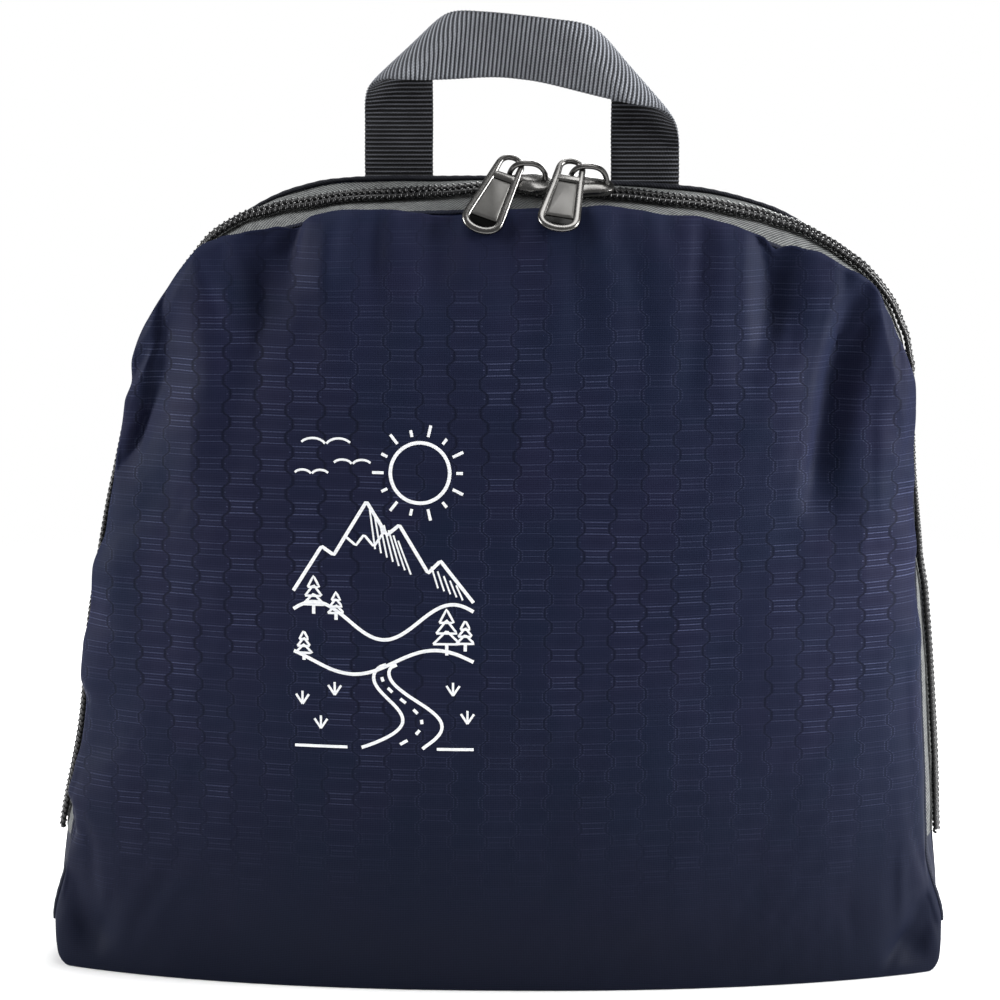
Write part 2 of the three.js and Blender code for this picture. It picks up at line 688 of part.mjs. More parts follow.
// A pull in its own frame: the eye's middle at the origin, hanging along -Z, with its face towards -Y.
function pullSolid() {
  const top = pullEyeHalfLength + pullEyeRim;
  const low = -(pullLength - top);
  const eyeHalf = pullEyeWidth / 2;
  const endHalf = pullEndWidth / 2;
  const shape = new THREE.Shape();
  shape.moveTo(-eyeHalf, 0);
  shape.quadraticCurveTo(-eyeHalf, top, 0, top);
  shape.quadraticCurveTo(eyeHalf, top, eyeHalf, 0);
  shape.lineTo(endHalf, low + endHalf * 0.8);
  shape.quadraticCurveTo(endHalf, low, 0, low);
  shape.quadraticCurveTo(-endHalf, low, -endHalf, low + endHalf * 0.8);
  shape.lineTo(-eyeHalf, 0);
  const eyeRound = pullEyeHalfLength - pullEyeHalfWidth;
  const through = 2 * pullThickness;
  const eyeEnd = (z) =>
    solidOf(new THREE.CylinderGeometry(pullEyeHalfWidth, pullEyeHalfWidth, through, 20).translate(0, 0, z));
  const eye = eyeEnd(-eyeRound)
    .add(eyeEnd(eyeRound))
    .add(box(2 * pullEyeHalfWidth, through, 2 * eyeRound, 0, 0, 0));
  const recessTop = -pullEyeHalfLength - pullRim;
  const recessLow = recessTop - pullPlateLength - pullSlotLength;
  const recessHalf = (at) => lerp(eyeHalf, endHalf, -at / (pullLength - top)) - pullRim + 0.4;
  const field = (high, lowEnd, shrink) => {
    const outlineShape = new THREE.Shape();
    outlineShape.moveTo(-recessHalf(high) + shrink, high);
    outlineShape.lineTo(recessHalf(high) - shrink, high);
    outlineShape.lineTo(recessHalf(lowEnd) - shrink, lowEnd);
    outlineShape.lineTo(-recessHalf(lowEnd) + shrink, lowEnd);
    outlineShape.lineTo(-recessHalf(high) + shrink, high);
    return outlineShape;
  };
  const face = -pullThickness / 2;
  const pocket = plateXZ(field(recessTop, recessLow, 0), 2 * pullRecess).translate([0, face, 0]);
  const plate = plateXZ(field(recessTop - 0.4, recessTop - pullPlateLength, 0.4), pullThickness);
  return plateXZ(shape, pullThickness, 8).subtract(eye).subtract(pocket).add(plate);
}

// One slider with its pull. side: -1 for the left one. Its parting end points to the other slider.
function addSlider(side, name) {
  const facing = -side;
  const { lean, drop } = pullRest[name];
  const share = meetingShare + (side * sliderSpacing) / 2 / outlineLength;
  const frame = bandFrame(share, 0.5);
  const along = frame.along.clone();
  const basis = new THREE.Matrix4().makeBasis(
    along.clone().multiplyScalar(facing),
    frame.back.clone().multiplyScalar(facing),
    frame.out,
  );
  const place = (geometry, matrix, position) => geometry.applyMatrix4(matrix.clone().setPosition(position));
  addPiece("slider_" + name, place(geometryOf(sliderSolid()), basis, frame.point), materials.metal);

  const hook = frame.point
    .clone()
    .addScaledVector(along, -(bridgeSpan - bridgeBar) / 2)
    .addScaledVector(frame.out, plateTop + hookRise);
  const dropAngle = THREE.MathUtils.degToRad(drop);
  const level = along.clone().cross(vector(0, 0, 1)).normalize();
  const down = level.multiplyScalar(Math.cos(dropAngle)).add(vector(0, 0, -Math.sin(dropAngle))).normalize();
  const face = along.clone().cross(down).negate().normalize();
  const leaned = down.clone().applyAxisAngle(face, THREE.MathUtils.degToRad(-lean));
  const turned = new THREE.Matrix4().makeBasis(
    face.clone().cross(leaned).normalize(),
    face.clone().negate(),
    leaned.clone().negate(),
  );
  addPiece("pull_" + name, place(geometryOf(pullSolid()), turned, hook), materials.metal);
}

// The strap, flat in the middle of its grip and rolled over by half a turn at each top corner, where it
// meets its leg. Every row of its mesh is a straight line of the cloth, so nothing stretches.
function addHandle() {
  const legPlane = backSeamY + seamGap + strapThickness / 2;
  const gripPlane = legPlane - 2 * strapRoll;
  const seamTop = (x) => backSeam(shareOfTopX(x)).z;
  const leftCross = vector(leftLegX, 0, seamTop(leftLegX) + leftLegRise);
  const rightCross = vector(rightLegX, 0, seamTop(rightLegX) + rightLegRise);
  const grip = rightCross.clone().sub(leftCross);
  const gripHalf = grip.length() / 2;
  const middle = leftCross.clone().lerp(rightCross, 0.5);
  const gripAlong = grip.normalize();
  const gripUp = vector(-gripAlong.z, 0, gripAlong.x);
  const sections = [];

  const halfRows = (side, legLength) => {
    const bandOut = gripAlong.clone().multiplyScalar(side);
    const legDown = vector(0, 0, -1);
    const axis = bandOut.clone().add(legDown).normalize();
    const away = vector(-axis.z, 0, axis.x).multiplyScalar(side);
    const cross = middle.clone().addScaledVector(gripAlong, side * gripHalf);
    const start = cross.clone().addScaledVector(away, (-Math.PI * strapRoll) / 2);
    const fold = (p) => {
      const offset = p.clone().sub(start);
      const along = offset.dot(axis);
      const beyond = offset.dot(away);
      const angle = clamp01(beyond / (Math.PI * strapRoll)) * Math.PI;
      const past = Math.max(0, beyond - Math.PI * strapRoll);
      const flat = Math.min(beyond, 0);
      const point = start
        .clone()
        .addScaledVector(axis, along)
        .addScaledVector(away, flat + strapRoll * Math.sin(angle) - past);
      point.y = gripPlane + strapRoll * (1 - Math.cos(angle));
      const normal = vector(0, -Math.cos(angle), 0).addScaledVector(away, Math.sin(angle));
      return { point, normal };
    };
    const ring = (lower, upper) => {
      const a = fold(lower);
      const b = fold(upper);
      const half = strapThickness / 2;
      return [
        a.point.clone().addScaledVector(a.normal, half),
        a.point.clone().addScaledVector(a.normal, -half),
        b.point.clone().addScaledVector(b.normal, -half),
        b.point.clone().addScaledVector(b.normal, half),
      ];
    };
    const onEdge = (edge, distance) => {
      const origin = middle.clone().addScaledVector(gripUp, (edge * strapWidth) / 2);
      const wanted = distance - origin.clone().sub(start).dot(away);
      return origin.addScaledVector(bandOut, wanted / bandOut.dot(away));
    };
    const rows = [];
    for (let i = 0; i <= rollSteps; i += 1) {
      const distance = (Math.PI * strapRoll * i) / rollSteps;
      rows.push(ring(onEdge(-1, distance), onEdge(1, distance)));
    }
    const end = middle.clone().addScaledVector(bandOut, gripHalf + legLength);
    rows.push(
      ring(
        end.clone().addScaledVector(gripUp, -strapWidth / 2),
        end.clone().addScaledVector(gripUp, strapWidth / 2),
      ),
    );
    return rows;
  };
  sections.push(...halfRows(-1, leftLegRise + strapTail).reverse());
  sections.push(...halfRows(1, rightLegRise + strapTail));
  addPiece("handle", sweptBody(sections), materials.webbing);
}

// The folded backpack itself, a plain bundle that fills the pouch.
function addFoldedPack() {
  const columns = 16;
  const rows = 12;
  const shrink = 1 - packInset / bodyHalfWidth;
  const bottom = cloth + seamGap;
  const at = (across, up, y) => {
    const flat = patchPoint(frontSeam, across, up);
    return vector(flat.x * shrink, y, bottom + flat.z * shrink);
  };
  const frontY = (across, up) => {
    const front = panelPoint(lerp((1 - shrink) / 2, (1 + shrink) / 2, across), up * shrink, false).y;
    return Math.min(0, front + cloth + creaseRoom);
  };
  const backY = backSeamY - cloth - seamGap;
  const outer = gridOf(columns, rows, (across, up) => at(across, up, frontY(across, up)));
  const inner = gridOf(columns, rows, (across, up) => at(across, up, backY));
  addPiece("folded_pack", bodyBetween(outer, inner), materials.pack);
}

addFrontPanel();
addBackPanel();
addBaseGusset();
addTape("zip_tape_front", -1);
addTape("zip_tape_back", 1);
addCoil("zip_coil_front", -1);
addCoil("zip_coil_back", 1);
addBinding();
addHandle();
addFoldedPack();
addSlider(-1, "left");
addSlider(1, "right");

// The origin goes under the middle of the whole object, on the floor.
const bounds = new THREE.Box3().setFromObject(pouch);
const centre = bounds.getCenter(vector(0, 0, 0));
pouch.position.set(-centre.x, -centre.y, -bounds.min.z);

export default pouch;
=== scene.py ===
import math

import bmesh
import bpy
import numpy as np
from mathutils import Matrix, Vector
from mathutils.bvhtree import BVHTree


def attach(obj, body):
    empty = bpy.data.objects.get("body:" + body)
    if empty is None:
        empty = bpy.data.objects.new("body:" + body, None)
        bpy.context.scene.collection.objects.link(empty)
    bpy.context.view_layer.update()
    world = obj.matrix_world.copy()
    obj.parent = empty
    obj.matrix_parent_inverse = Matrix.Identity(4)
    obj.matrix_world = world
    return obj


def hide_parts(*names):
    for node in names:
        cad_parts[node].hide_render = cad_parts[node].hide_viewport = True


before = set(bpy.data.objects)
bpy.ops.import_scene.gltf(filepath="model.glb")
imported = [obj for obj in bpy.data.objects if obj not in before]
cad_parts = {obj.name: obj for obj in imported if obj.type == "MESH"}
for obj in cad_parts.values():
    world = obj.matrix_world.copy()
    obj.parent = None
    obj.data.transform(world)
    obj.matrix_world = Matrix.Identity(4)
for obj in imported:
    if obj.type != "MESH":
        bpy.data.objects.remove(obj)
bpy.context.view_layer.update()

# Sizes of the pouch, in millimetres, in the part's own frame
half_width = 118.5
height = 201.0
back_seam_y = 17.0
base_bow = 20.8
belly_depth = 28.0
back_bulge = 4.5
seam_gap = 0.3
top_drop = 7.4
side_flare = 4.5
cloth_thickness = 0.8
base_thickness = 0.9
tape_thickness = 0.7
coil_width = 2.7
coil_height = 1.8
zip_opening = 1.8
slider_length = 13.0
slider_spacing = 15.1
sliders_middle_x = 13.3
plate_under = 2.4
plate_top = 3.5
bridge_span = 10.4
bridge_bar = 1.3
bridge_rise = 5.3
hook_rise = 3.4
strap_width = 17.2
strap_thickness = 1.3
strap_roll = 5.6
strap_tail = 14.0
strap_rib = 1.05
left_leg = (-26.6, 34.0)
right_leg = (35.4, 29.0)
pull_rest = {"left": (22, 52), "right": (10, 43)}
picture_middle = (-28.0, 105.6)
shift = np.array([0.8148, 3.298, 0.0])
full_turn = 2 * math.pi
backwards = np.array([0.0, 1.0, 0.0])

# The back seam's outline from the middle of the base round by the left: across, up, tuck of the band
outline_rows = np.array([
    (0, 0, 0), (-0.286, 0, 0), (-0.591, 0, 0), (-0.955, 0, 0), (-0.992, 0.045, 0.2), (-0.977, 0.16, 0.9),
    (-0.93, 0.3, 1), (-0.889, 0.46, 0.6), (-0.826, 0.63, 0.35), (-0.742, 0.8, 0.25), (-0.61, 0.922, 0.7),
    (-0.42, 0.985, 1), (-0.114, 1, 1), (0.191, 0.995, 1), (0.429, 0.982, 1), (0.625, 0.942, 1),
    (0.777, 0.865, 0.9), (0.86, 0.76, 0.6), (0.875, 0.63, 0.35), (0.911, 0.46, 0.8), (0.939, 0.3, 1),
    (0.953, 0.16, 1), (0.964, 0.05, 0.2), (0.93, 0, 0), (0.572, 0, 0), (0.286, 0, 0),
])
base_left, zip_left, shoulder_left, shoulder_right, zip_right, base_right = 4, 5, 9, 17, 21, 22

# How far the front stands forward, by height
profile_rows = np.array([
    (0.0, base_bow / belly_depth), (0.12, 0.92), (0.32, 1.0), (0.52, 0.95), (0.7, 0.79), (0.84, 0.56),
    (0.93, 0.28), (0.97, 0.13), (1.0, 0.0),
])

# The solid's own creases: across, up, to across, to up, width, depth
creases = (
    (-0.69, 0.86, -0.79, 0.65, 0.18, 0.15), (-0.58, 0.9, -0.66, 0.64, 0.24, -0.09),
    (0.72, 0.885, 0.64, 0.62, 0.18, 0.13), (0.8, 0.8, 0.76, 0.58, 0.24, -0.08),
    (0.555, 0.93, 0.56, 0.81, 0.16, 0.12), (-0.445, 0.94, -0.51, 0.82, 0.18, 0.1),
    (-0.36, 0.95, -0.38, 0.86, 0.14, -0.05), (0.93, 0.1, 0.86, 0.02, 0.2, 0.14),
    (-0.94, 0.13, -0.88, 0.03, 0.2, 0.12),
)

# Sharper folds: from x and z to x and z, width on the left and on the right of it, depth
folds = (
    (-77, 168, -82, 152, 1.3, 3.2, 2.2), (-82, 154, -90, 134, 1.2, 2.6, 2.6),
    (-80, 170, -91, 140, 5, 2.4, -1.0), (-61.5, 166, -62.5, 159, 0.7, 3, 1.1),
    (-51.5, 186, -52.5, 178, 2.2, 1.4, 1.1), (-43, 188, -43.5, 172, 1.8, 2.4, -0.8),
    (-60, 178, -59, 168, 2.5, 1.2, 0.8), (-70, 176, -68, 163, 1.6, 2.2, -0.7),
    (-30, 190, -31, 176, 2.2, 1.5, 0.6), (-14, 191, -15, 180, 1.5, 2.5, 0.45),
    (4, 192, 3, 182, 2.0, 1.6, 0.4), (26, 191, 27, 178, 1.4, 2.4, 0.6), (36, 190, 37, 170, 2.4, 1.5, -0.6),
    (47, 187, 47.5, 172, 1.5, 2.6, 0.8), (58.5, 182, 59, 160, 2.2, 1.4, -0.8),
    (62.5, 181, 62.8, 160, 1.0, 3.0, 1.5), (71, 175, 69, 158, 1.4, 2.4, 0.7),
    (79, 174, 74.5, 141, 1.6, 1.6, -1.0), (82, 170, 79, 149, 1.0, 2.6, 1.6),
    (79, 150, 75.5, 129, 0.9, 2.4, 1.2), (90, 150, 91, 118, 3, 1.5, 0.6), (75, 142, 71, 124, 1.4, 2.0, -0.7),
    (-99, 112, -101, 84, 2.0, 3.5, 0.8), (100, 84, 103, 52, 3.5, 1.6, 0.8), (104, 11, 98, 2, 1.6, 1.0, 1.5),
    (101, 34, 102, 12, 1.2, 2.0, -0.8), (-105, 40, -103, 14, 2.4, 1.4, 0.9),
    (-99, 22, -104, 6, 1.6, 2.6, 0.8),
)

# Along the front seam, by share of the outline: how far the full cloth hangs over the tape
cloth_reach = np.array([
    (0.13, 0), (0.17, 0.3), (0.19, 1.2), (0.2, 0.9), (0.206, 1.8), (0.212, 3), (0.22, 2.7), (0.23, 2.2),
    (0.242, 2.0), (0.25, 3.1), (0.26, 2.9), (0.27, 2.4), (0.285, 3.1), (0.298, 1.8), (0.31, 1.9),
    (0.325, 2.4), (0.338, 2.4), (0.345, 1.4), (0.352, 2.6), (0.362, 2.7), (0.372, 3.5), (0.382, 4.1),
    (0.392, 4.6), (0.4, 4.8), (0.406, 3.9), (0.413, 2.4), (0.421, 1.2), (0.43, 0.5), (0.438, 1.6),
    (0.445, 1.9), (0.458, 1.3), (0.47, 0.8), (0.48, 0.4), (0.49, 0.8), (0.5, 1.1), (0.51, 1.6), (0.52, 2.3),
    (0.53, 3.2), (0.54, 2.6), (0.55, 1.7), (0.56, 2.4), (0.57, 2.1), (0.58, 1.3), (0.588, 0.5), (0.594, 2.0),
    (0.602, 3.5), (0.61, 3.6), (0.616, 4.6), (0.622, 5.0), (0.63, 4.1), (0.64, 2.7), (0.65, 1.5), (0.66, 1.6),
    (0.672, 1.0), (0.69, 1.3), (0.7, 0.7), (0.712, 1.2), (0.722, 0.5), (0.74, 1.2), (0.755, 0.5), (0.78, 0.4),
    (0.8, 0.2), (0.83, 0),
])
# How far the zip's middle stands out from its band, and how far the band's back edge is raised
zip_crown = np.array([
    (0.13, 1, 0), (0.36, 1, 0), (0.375, 1.6, 0), (0.39, 2.5, 0.2), (0.4, 3.1, 0.6), (0.41, 2.7, 0.9),
    (0.421, 1.4, 1.2), (0.436, 0, 0.9), (0.46, -0.2, 0.3), (0.478, 0.3, 0), (0.492, 1, 0), (0.536, 1, 0),
    (0.55, 0.5, 0.1), (0.57, 1, 0.7), (0.585, 1.7, 0.8), (0.6, 2.8, 0.5), (0.61, 3.3, 0.7), (0.62, 3.9, 0.7),
    (0.632, 3.9, 0.4), (0.642, 3, 0), (0.652, 1.7, 0), (0.66, 0.2, 0), (0.67, -0.4, 0), (0.69, -0.2, 0),
    (0.715, 0.2, 0), (0.73, 1, 0), (0.83, 1, 0),
])


# Numbers, points and lines
def mix(a, b, t):
    return a + (b - a) * t


def smooth(low, high, x):
    t = np.clip((x - low) / (high - low), 0, 1)
    return t * t * (3 - 2 * t)


def unit(v):
    return v / np.linalg.norm(v, axis=-1, keepdims=True)


def even(count):
    return np.linspace(0, 1, count)


def spots(*numbers):
    """Points from their numbers, each of which may be a grid."""
    return np.stack(np.broadcast_arrays(*numbers), -1)


def run_along(line):
    """The length of a line up to each of its points."""
    return np.concatenate([[0], np.cumsum(np.linalg.norm(np.diff(line, axis=0), axis=1))])


def walk_along(line, run, walk):
    """Points at some lengths along a line."""
    return np.stack([np.interp(walk, run, numbers) for numbers in line.T], -1)


def read_table(table, at, column=1):
    """A column of a table at places between its rows, eased from row to row."""
    i = np.clip(np.searchsorted(table[:, 0], at, side="right") - 1, 0, len(table) - 2)
    t = (at - table[i, 0]) / (table[i + 1, 0] - table[i, 0])
    return mix(table[i, column], table[i + 1, column], smooth(0, 1, t))


def ripple(x, z, size, seed):
    """Soft waves about `size` millimetres long, between -1 and 1."""
    chance = np.random.default_rng(seed)
    total = np.zeros(np.broadcast(x, z).shape)
    for _ in range(14):
        angle, phase = chance.uniform(0, full_turn), chance.uniform(0, full_turn)
        stretch = chance.uniform(0.6, 1.7)
        total += np.sin((x * math.cos(angle) + z * math.sin(angle)) * full_turn * stretch / size + phase)
    return total / 5


# Seams
def outline_at(row):
    """Points across and up of the back seam at rows of its table, with fractions."""
    first = np.floor(row).astype(int)
    t = (row - first)[..., None]
    table = outline_rows[:, :2] * (half_width, height)
    a, b, c, d = (table[(first + k) % len(table)] for k in (-1, 0, 1, 2))
    ab, bc, cd = (np.sum((q - p) ** 2, -1)[..., None] ** 0.25 for p, q in ((a, b), (b, c), (c, d)))
    leave = ((b - a) / ab - (c - a) / (ab + bc) + (c - b) / bc) * bc
    reach = ((c - b) / bc - (d - b) / (bc + cd) + (d - c) / cd) * bc
    return b + t * leave + t**2 * (3 * (c - b) - 2 * leave - reach) + t**3 * (2 * (b - c) + leave + reach)


samples = 24
sampled_rows = np.arange(len(outline_rows) * samples + 1) / samples
sampled_lengths = run_along(outline_at(sampled_rows))
outline_length = sampled_lengths[-1]


def share_of(row):
    return sampled_lengths[row * samples] / outline_length


low_left, high_left = share_of(base_left), share_of(shoulder_left)
low_right, high_right = share_of(base_right), share_of(shoulder_right)


def row_at(share):
    return np.interp(np.mod(share, 1) * outline_length, sampled_lengths, sampled_rows)


def tuck_at(share):
    row = row_at(share)
    first = np.floor(row).astype(int)
    tucks = outline_rows[:, 2]
    return mix(tucks[first % len(tucks)], tucks[(first + 1) % len(tucks)], smooth(0, 1, row - first))


def seam_frame(share):
    """The outline at shares of its length, and the way out of it, both across and up."""
    row, step = row_at(share), 0.0026
    point = outline_at(row)
    along = unit(outline_at(row + step) - outline_at(row - step))
    point[..., 1] = np.maximum(point[..., 1], 0)
    return point, spots(-along[..., 1], along[..., 0])


def outward(share):
    out = seam_frame(share)[1]
    return spots(out[..., 0], 0.0, out[..., 1])


def seam_point(share, inset, y):
    point, out = seam_frame(share)
    moved = point - out * (inset * (1 - smooth(0.3, 0.95, -out[..., 1])))[..., None]
    return spots(moved[..., 0], y, np.maximum(moved[..., 1], 0))


def front_seam(share):
    rise = np.clip(seam_frame(share)[1][..., 1], 0, 1) ** 2
    return seam_point(share, tuck_at(share) * mix(side_flare, top_drop, rise), 0.0)


def back_seam(share):
    return seam_point(share, 0.0, back_seam_y)


def edge_rise(share):
    return read_table(zip_crown, share, 2)


def back_rim(share):
    """The back seam, where the band's edge lifts it."""
    return back_seam(share) + outward(share) * edge_rise(share)[..., None]


def band_point(share, across):
    """A point of the zip band's outer face, from 0 at the front seam to 1 at the back one."""
    share, across = np.broadcast_arrays(share, across)
    crown = read_table(zip_crown, share) * 4 * across * (1 - across)
    crown = crown + edge_rise(share) * smooth(0.5, 1, across)
    return mix(front_seam(share), back_seam(share), across[..., None]) + outward(share) * crown[..., None]


def band_frame(share, across):
    """A point of the band, and the ways along it, to its back edge and out of it."""
    step = 1e-3
    along = unit(band_point(share + step, across) - band_point(share - step, across))
    back = unit(band_point(share, across + step) - band_point(share, across - step))
    out = unit(np.cross(along, back))
    return band_point(share, across), along, np.cross(out, along), out


# Cloth shapes
def patch(edge, across, up):
    """A grid of points inside an outline, from its base, its shoulders and its two sides."""
    a, u = across[None, :, None], up[:, None, None]
    base, top = edge(mix(low_left, low_right - 1, across))[None], edge(mix(high_left, high_right, across))[None]
    left, right = edge(mix(low_left, high_left, up))[:, None], edge(mix(low_right, high_right, up))[:, None]
    left_end, right_end = mix(edge(low_left), edge(high_left), u), mix(edge(low_right), edge(high_right), u)
    return mix(base, top, u) + mix(left, right, a) - mix(left_end, right_end, a)


def grid_shares(columns, rows):
    """Shares across and up for a grid that is closer at its sides and its top."""
    start = 0.12
    angle = math.pi * mix(start, 1 - start, even(columns + 1))
    across = 0.5 - 0.5 * np.cos(angle) / math.cos(start * math.pi)
    return across, np.sin(math.pi / 2 * even(rows + 1) ** 1.15)


def off_edge(across, up, sides, ends):
    """0 at a cloth's edges and 1 away from them. sides and ends say where it starts and where it is full."""
    aside = np.minimum(across, 1 - across) * 2
    return smooth(*sides, aside)[None, :] * (smooth(*ends, up) * smooth(*ends, 1 - up))[:, None]


def fullness(across):
    """How full the front is, from 0 at its sides to 1 in its middle."""
    return np.maximum(1 - np.abs(2 * across - 1) ** 2.2, 0) ** 0.78


def profile_at(up):
    ups, depths = profile_rows.T
    slopes = np.zeros(len(ups))
    slopes[1:-1] = (depths[2:] - depths[:-2]) / (ups[2:] - ups[:-2])
    slopes[-1] = (depths[-1] - depths[-2]) / (ups[-1] - ups[-2])
    i = np.clip(np.searchsorted(ups, up, side="left") - 1, 0, len(ups) - 2)
    span = ups[i + 1] - ups[i]
    t = np.clip((up - ups[i]) / span, 0, 1)
    ends = (2 * t**3 - 3 * t**2 + 1) * depths[i] + (3 * t**2 - 2 * t**3) * depths[i + 1]
    return ends + span * ((t**3 - 2 * t**2 + t) * slopes[i] + (t**3 - t**2) * slopes[i + 1])


def crease_depth(x, z):
    depth = np.zeros_like(x)
    for across, up, to_across, to_up, width, deep in creases:
        start = np.array([across * half_width, up * height])
        run = np.array([to_across * half_width, to_up * height]) - start
        t = ((x - start[0]) * run[0] + (z - start[1]) * run[1]) / (run @ run)
        held = np.clip(t, 0, 1)
        aside = np.hypot(x - start[0] - held * run[0], z - start[1] - held * run[1])
        taper = smooth(-0.25, 0.3, t) * (1 - smooth(0.7, 1.25, t))
        depth += deep * belly_depth * taper * np.exp(-((aside / (width * belly_depth)) ** 2))
    return depth


def fold_depth(x, z):
    depth = np.zeros_like(x)
    for x0, z0, x1, z1, left, right, deep in folds:
        run = np.array([x1 - x0, z1 - z0], float)
        long = np.linalg.norm(run)
        t = ((x - x0) * run[0] + (z - z0) * run[1]) / long**2
        aside = ((x - x0) * run[1] - (z - z0) * run[0]) / long
        taper = smooth(-0.3, 0.35, t) * (1 - smooth(0.6, 1.35, t))
        depth += deep * taper * np.exp(-((aside / np.where(aside < 0, right, left)) ** 2))
    return depth


# Mesh making
def quads(corners):
    """The faces between neighbours in a grid of corner numbers."""
    around = [corners[:-1, :-1], corners[:-1, 1:], corners[1:, 1:], corners[1:, :-1]]
    return np.stack(around, -1).reshape(-1, 4).tolist()


def grid_mesh(grid):
    """The points of a grid in the scene's own frame and metres, and its faces."""
    rows, columns = grid.shape[:2]
    return (grid.reshape(-1, 3) + shift) / 1000, quads(np.arange(rows * columns).reshape(rows, columns))


class Shell:
    """Gathers closed bodies into one piece, each with the number of its material."""

    def __init__(self):
        self.points, self.faces, self.slots, self.strips = [], [], [], []

    def add(self, points, faces, slot=0, strip=None):
        start = sum(len(p) for p in self.points)
        self.points.append(np.asarray(points, float).reshape(-1, 3))
        self.faces += [tuple(start + i for i in face) for face in faces]
        self.slots += [slot] * len(faces)
        self.strips.append(np.zeros_like(self.points[-1]) if strip is None else strip.reshape(-1, 3))
        return self

    def loft(self, sections, slot=0, strip=None, closed=False):
        """A body through rings of points. closed joins the last ring to the first."""
        rings, sides = sections.shape[:2]
        faces = []
        for i in range(rings if closed else rings - 1):
            here, there = i * sides, (i + 1) % rings * sides
            faces += [(here + j, here + k, there + k, there + j) for j, k in enumerate([*range(1, sides), 0])]
        if not closed:
            faces += [tuple(range(sides))[::-1], tuple(range((rings - 1) * sides, rings * sides))]
        return self.add(sections, faces, slot, strip)

    def sheet(self, outer, inner, strip=None):
        """A cloth of two grids of points, joined round their edges."""
        rows, columns = outer.shape[:2]
        at = np.arange(2 * rows * columns).reshape(2, rows, columns)
        parts = (*at, at[:, :, 0], at[:, :, -1], at[:, 0], at[:, -1])
        faces = [face for part in parts for face in quads(part)]
        return self.add(np.stack([outer, inner]), faces, 0, strip)

    def piece(self, name, finishes, slot, node=None, body="pouch", angle=50):
        """Makes the piece. node is the solid whose place it takes."""
        mesh = bpy.data.meshes.new(name)
        points = (np.concatenate(self.points) + shift) / 1000
        mesh.from_pydata([tuple(p) for p in points], [], self.faces)
        layer = mesh.attributes.new("strip", "FLOAT_VECTOR", "POINT")
        layer.data.foreach_set("vector", np.concatenate(self.strips).astype(np.float32).ravel())
        for finish in finishes:
            mesh.materials.append(finish)
        mesh.polygons.foreach_set("material_index", self.slots)
        skin = bmesh.new()
        skin.from_mesh(mesh)
        bmesh.ops.recalc_face_normals(skin, faces=skin.faces)
        skin.to_mesh(mesh)
        skin.free()
        mesh.shade_smooth()
        mesh.set_sharp_from_angle(angle=math.radians(angle))
        made = in_scene(name, mesh)
        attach(made, body)
        if node:
            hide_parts(node)
        return made


def in_scene(name, data):
    made = bpy.data.objects.new(name, data)
    bpy.context.scene.collection.objects.link(made)
    return made


def bulge(numbers, power):
    """A power that keeps the sign."""
    return np.sign(numbers) * np.abs(numbers) ** power


def ring(sides, wide, tall, power=2.0):
    """A round or nearly square section: a list of two numbers for each corner."""
    angle = full_turn * (np.arange(sides) + 0.5) / sides
    corners = spots(np.cos(angle), np.sin(angle))
    return bulge(corners, 2 / power) * (wide, tall)


def sweep(centres, sideways, upwards, section):
    """Rings of a section carried along a line. section is one for all, or one a point."""
    sideways, upwards = (np.broadcast_to(way, centres.shape)[:, None] for way in (sideways, upwards))
    return centres[:, None] + sideways * section[..., :1] + upwards * section[..., 1:]


# Finishes
def by(operation):
    return lambda self, *others: self.math(operation, *others)


class Wire:
    """A socket in a formula: sums and products of it add their Math nodes."""

    def __init__(self, finish, socket):
        self.finish, self.socket = finish, socket

    def math(self, operation, *others):
        return self.finish.node("Math", {"operation": operation}, dict(enumerate([self, *others])))

    __add__ = __radd__ = by("ADD")
    __mul__ = __rmul__ = by("MULTIPLY")
    __sub__, __truediv__, __pow__, __abs__ = by("SUBTRACT"), by("DIVIDE"), by("POWER"), by("ABSOLUTE")
    floor, fract, exp, least, most = by("FLOOR"), by("FRACT"), by("EXPONENT"), by("MINIMUM"), by("MAXIMUM")

    def __rsub__(self, other): return self * -1 + other
    def __neg__(self): return self * -1
    def clamp(self): return self.most(0).least(1)

    def wave(self, length, sharp=1):
        """Crests of 1 every `length`, with valleys of 0 between. A higher sharp makes the crests thinner."""
        return ((self * (full_turn / length)).math("COSINE") * 0.5 + 0.5) ** sharp

    def step(self, low, high):
        """0 below low, 1 above high and smooth between."""
        return self.finish.node("MapRange", {"interpolation_type": "SMOOTHSTEP"},
                                {"Value": self, "From Min": low, "From Max": high})

    def bell(self, width):
        return (-((self / width) ** 2)).exp()


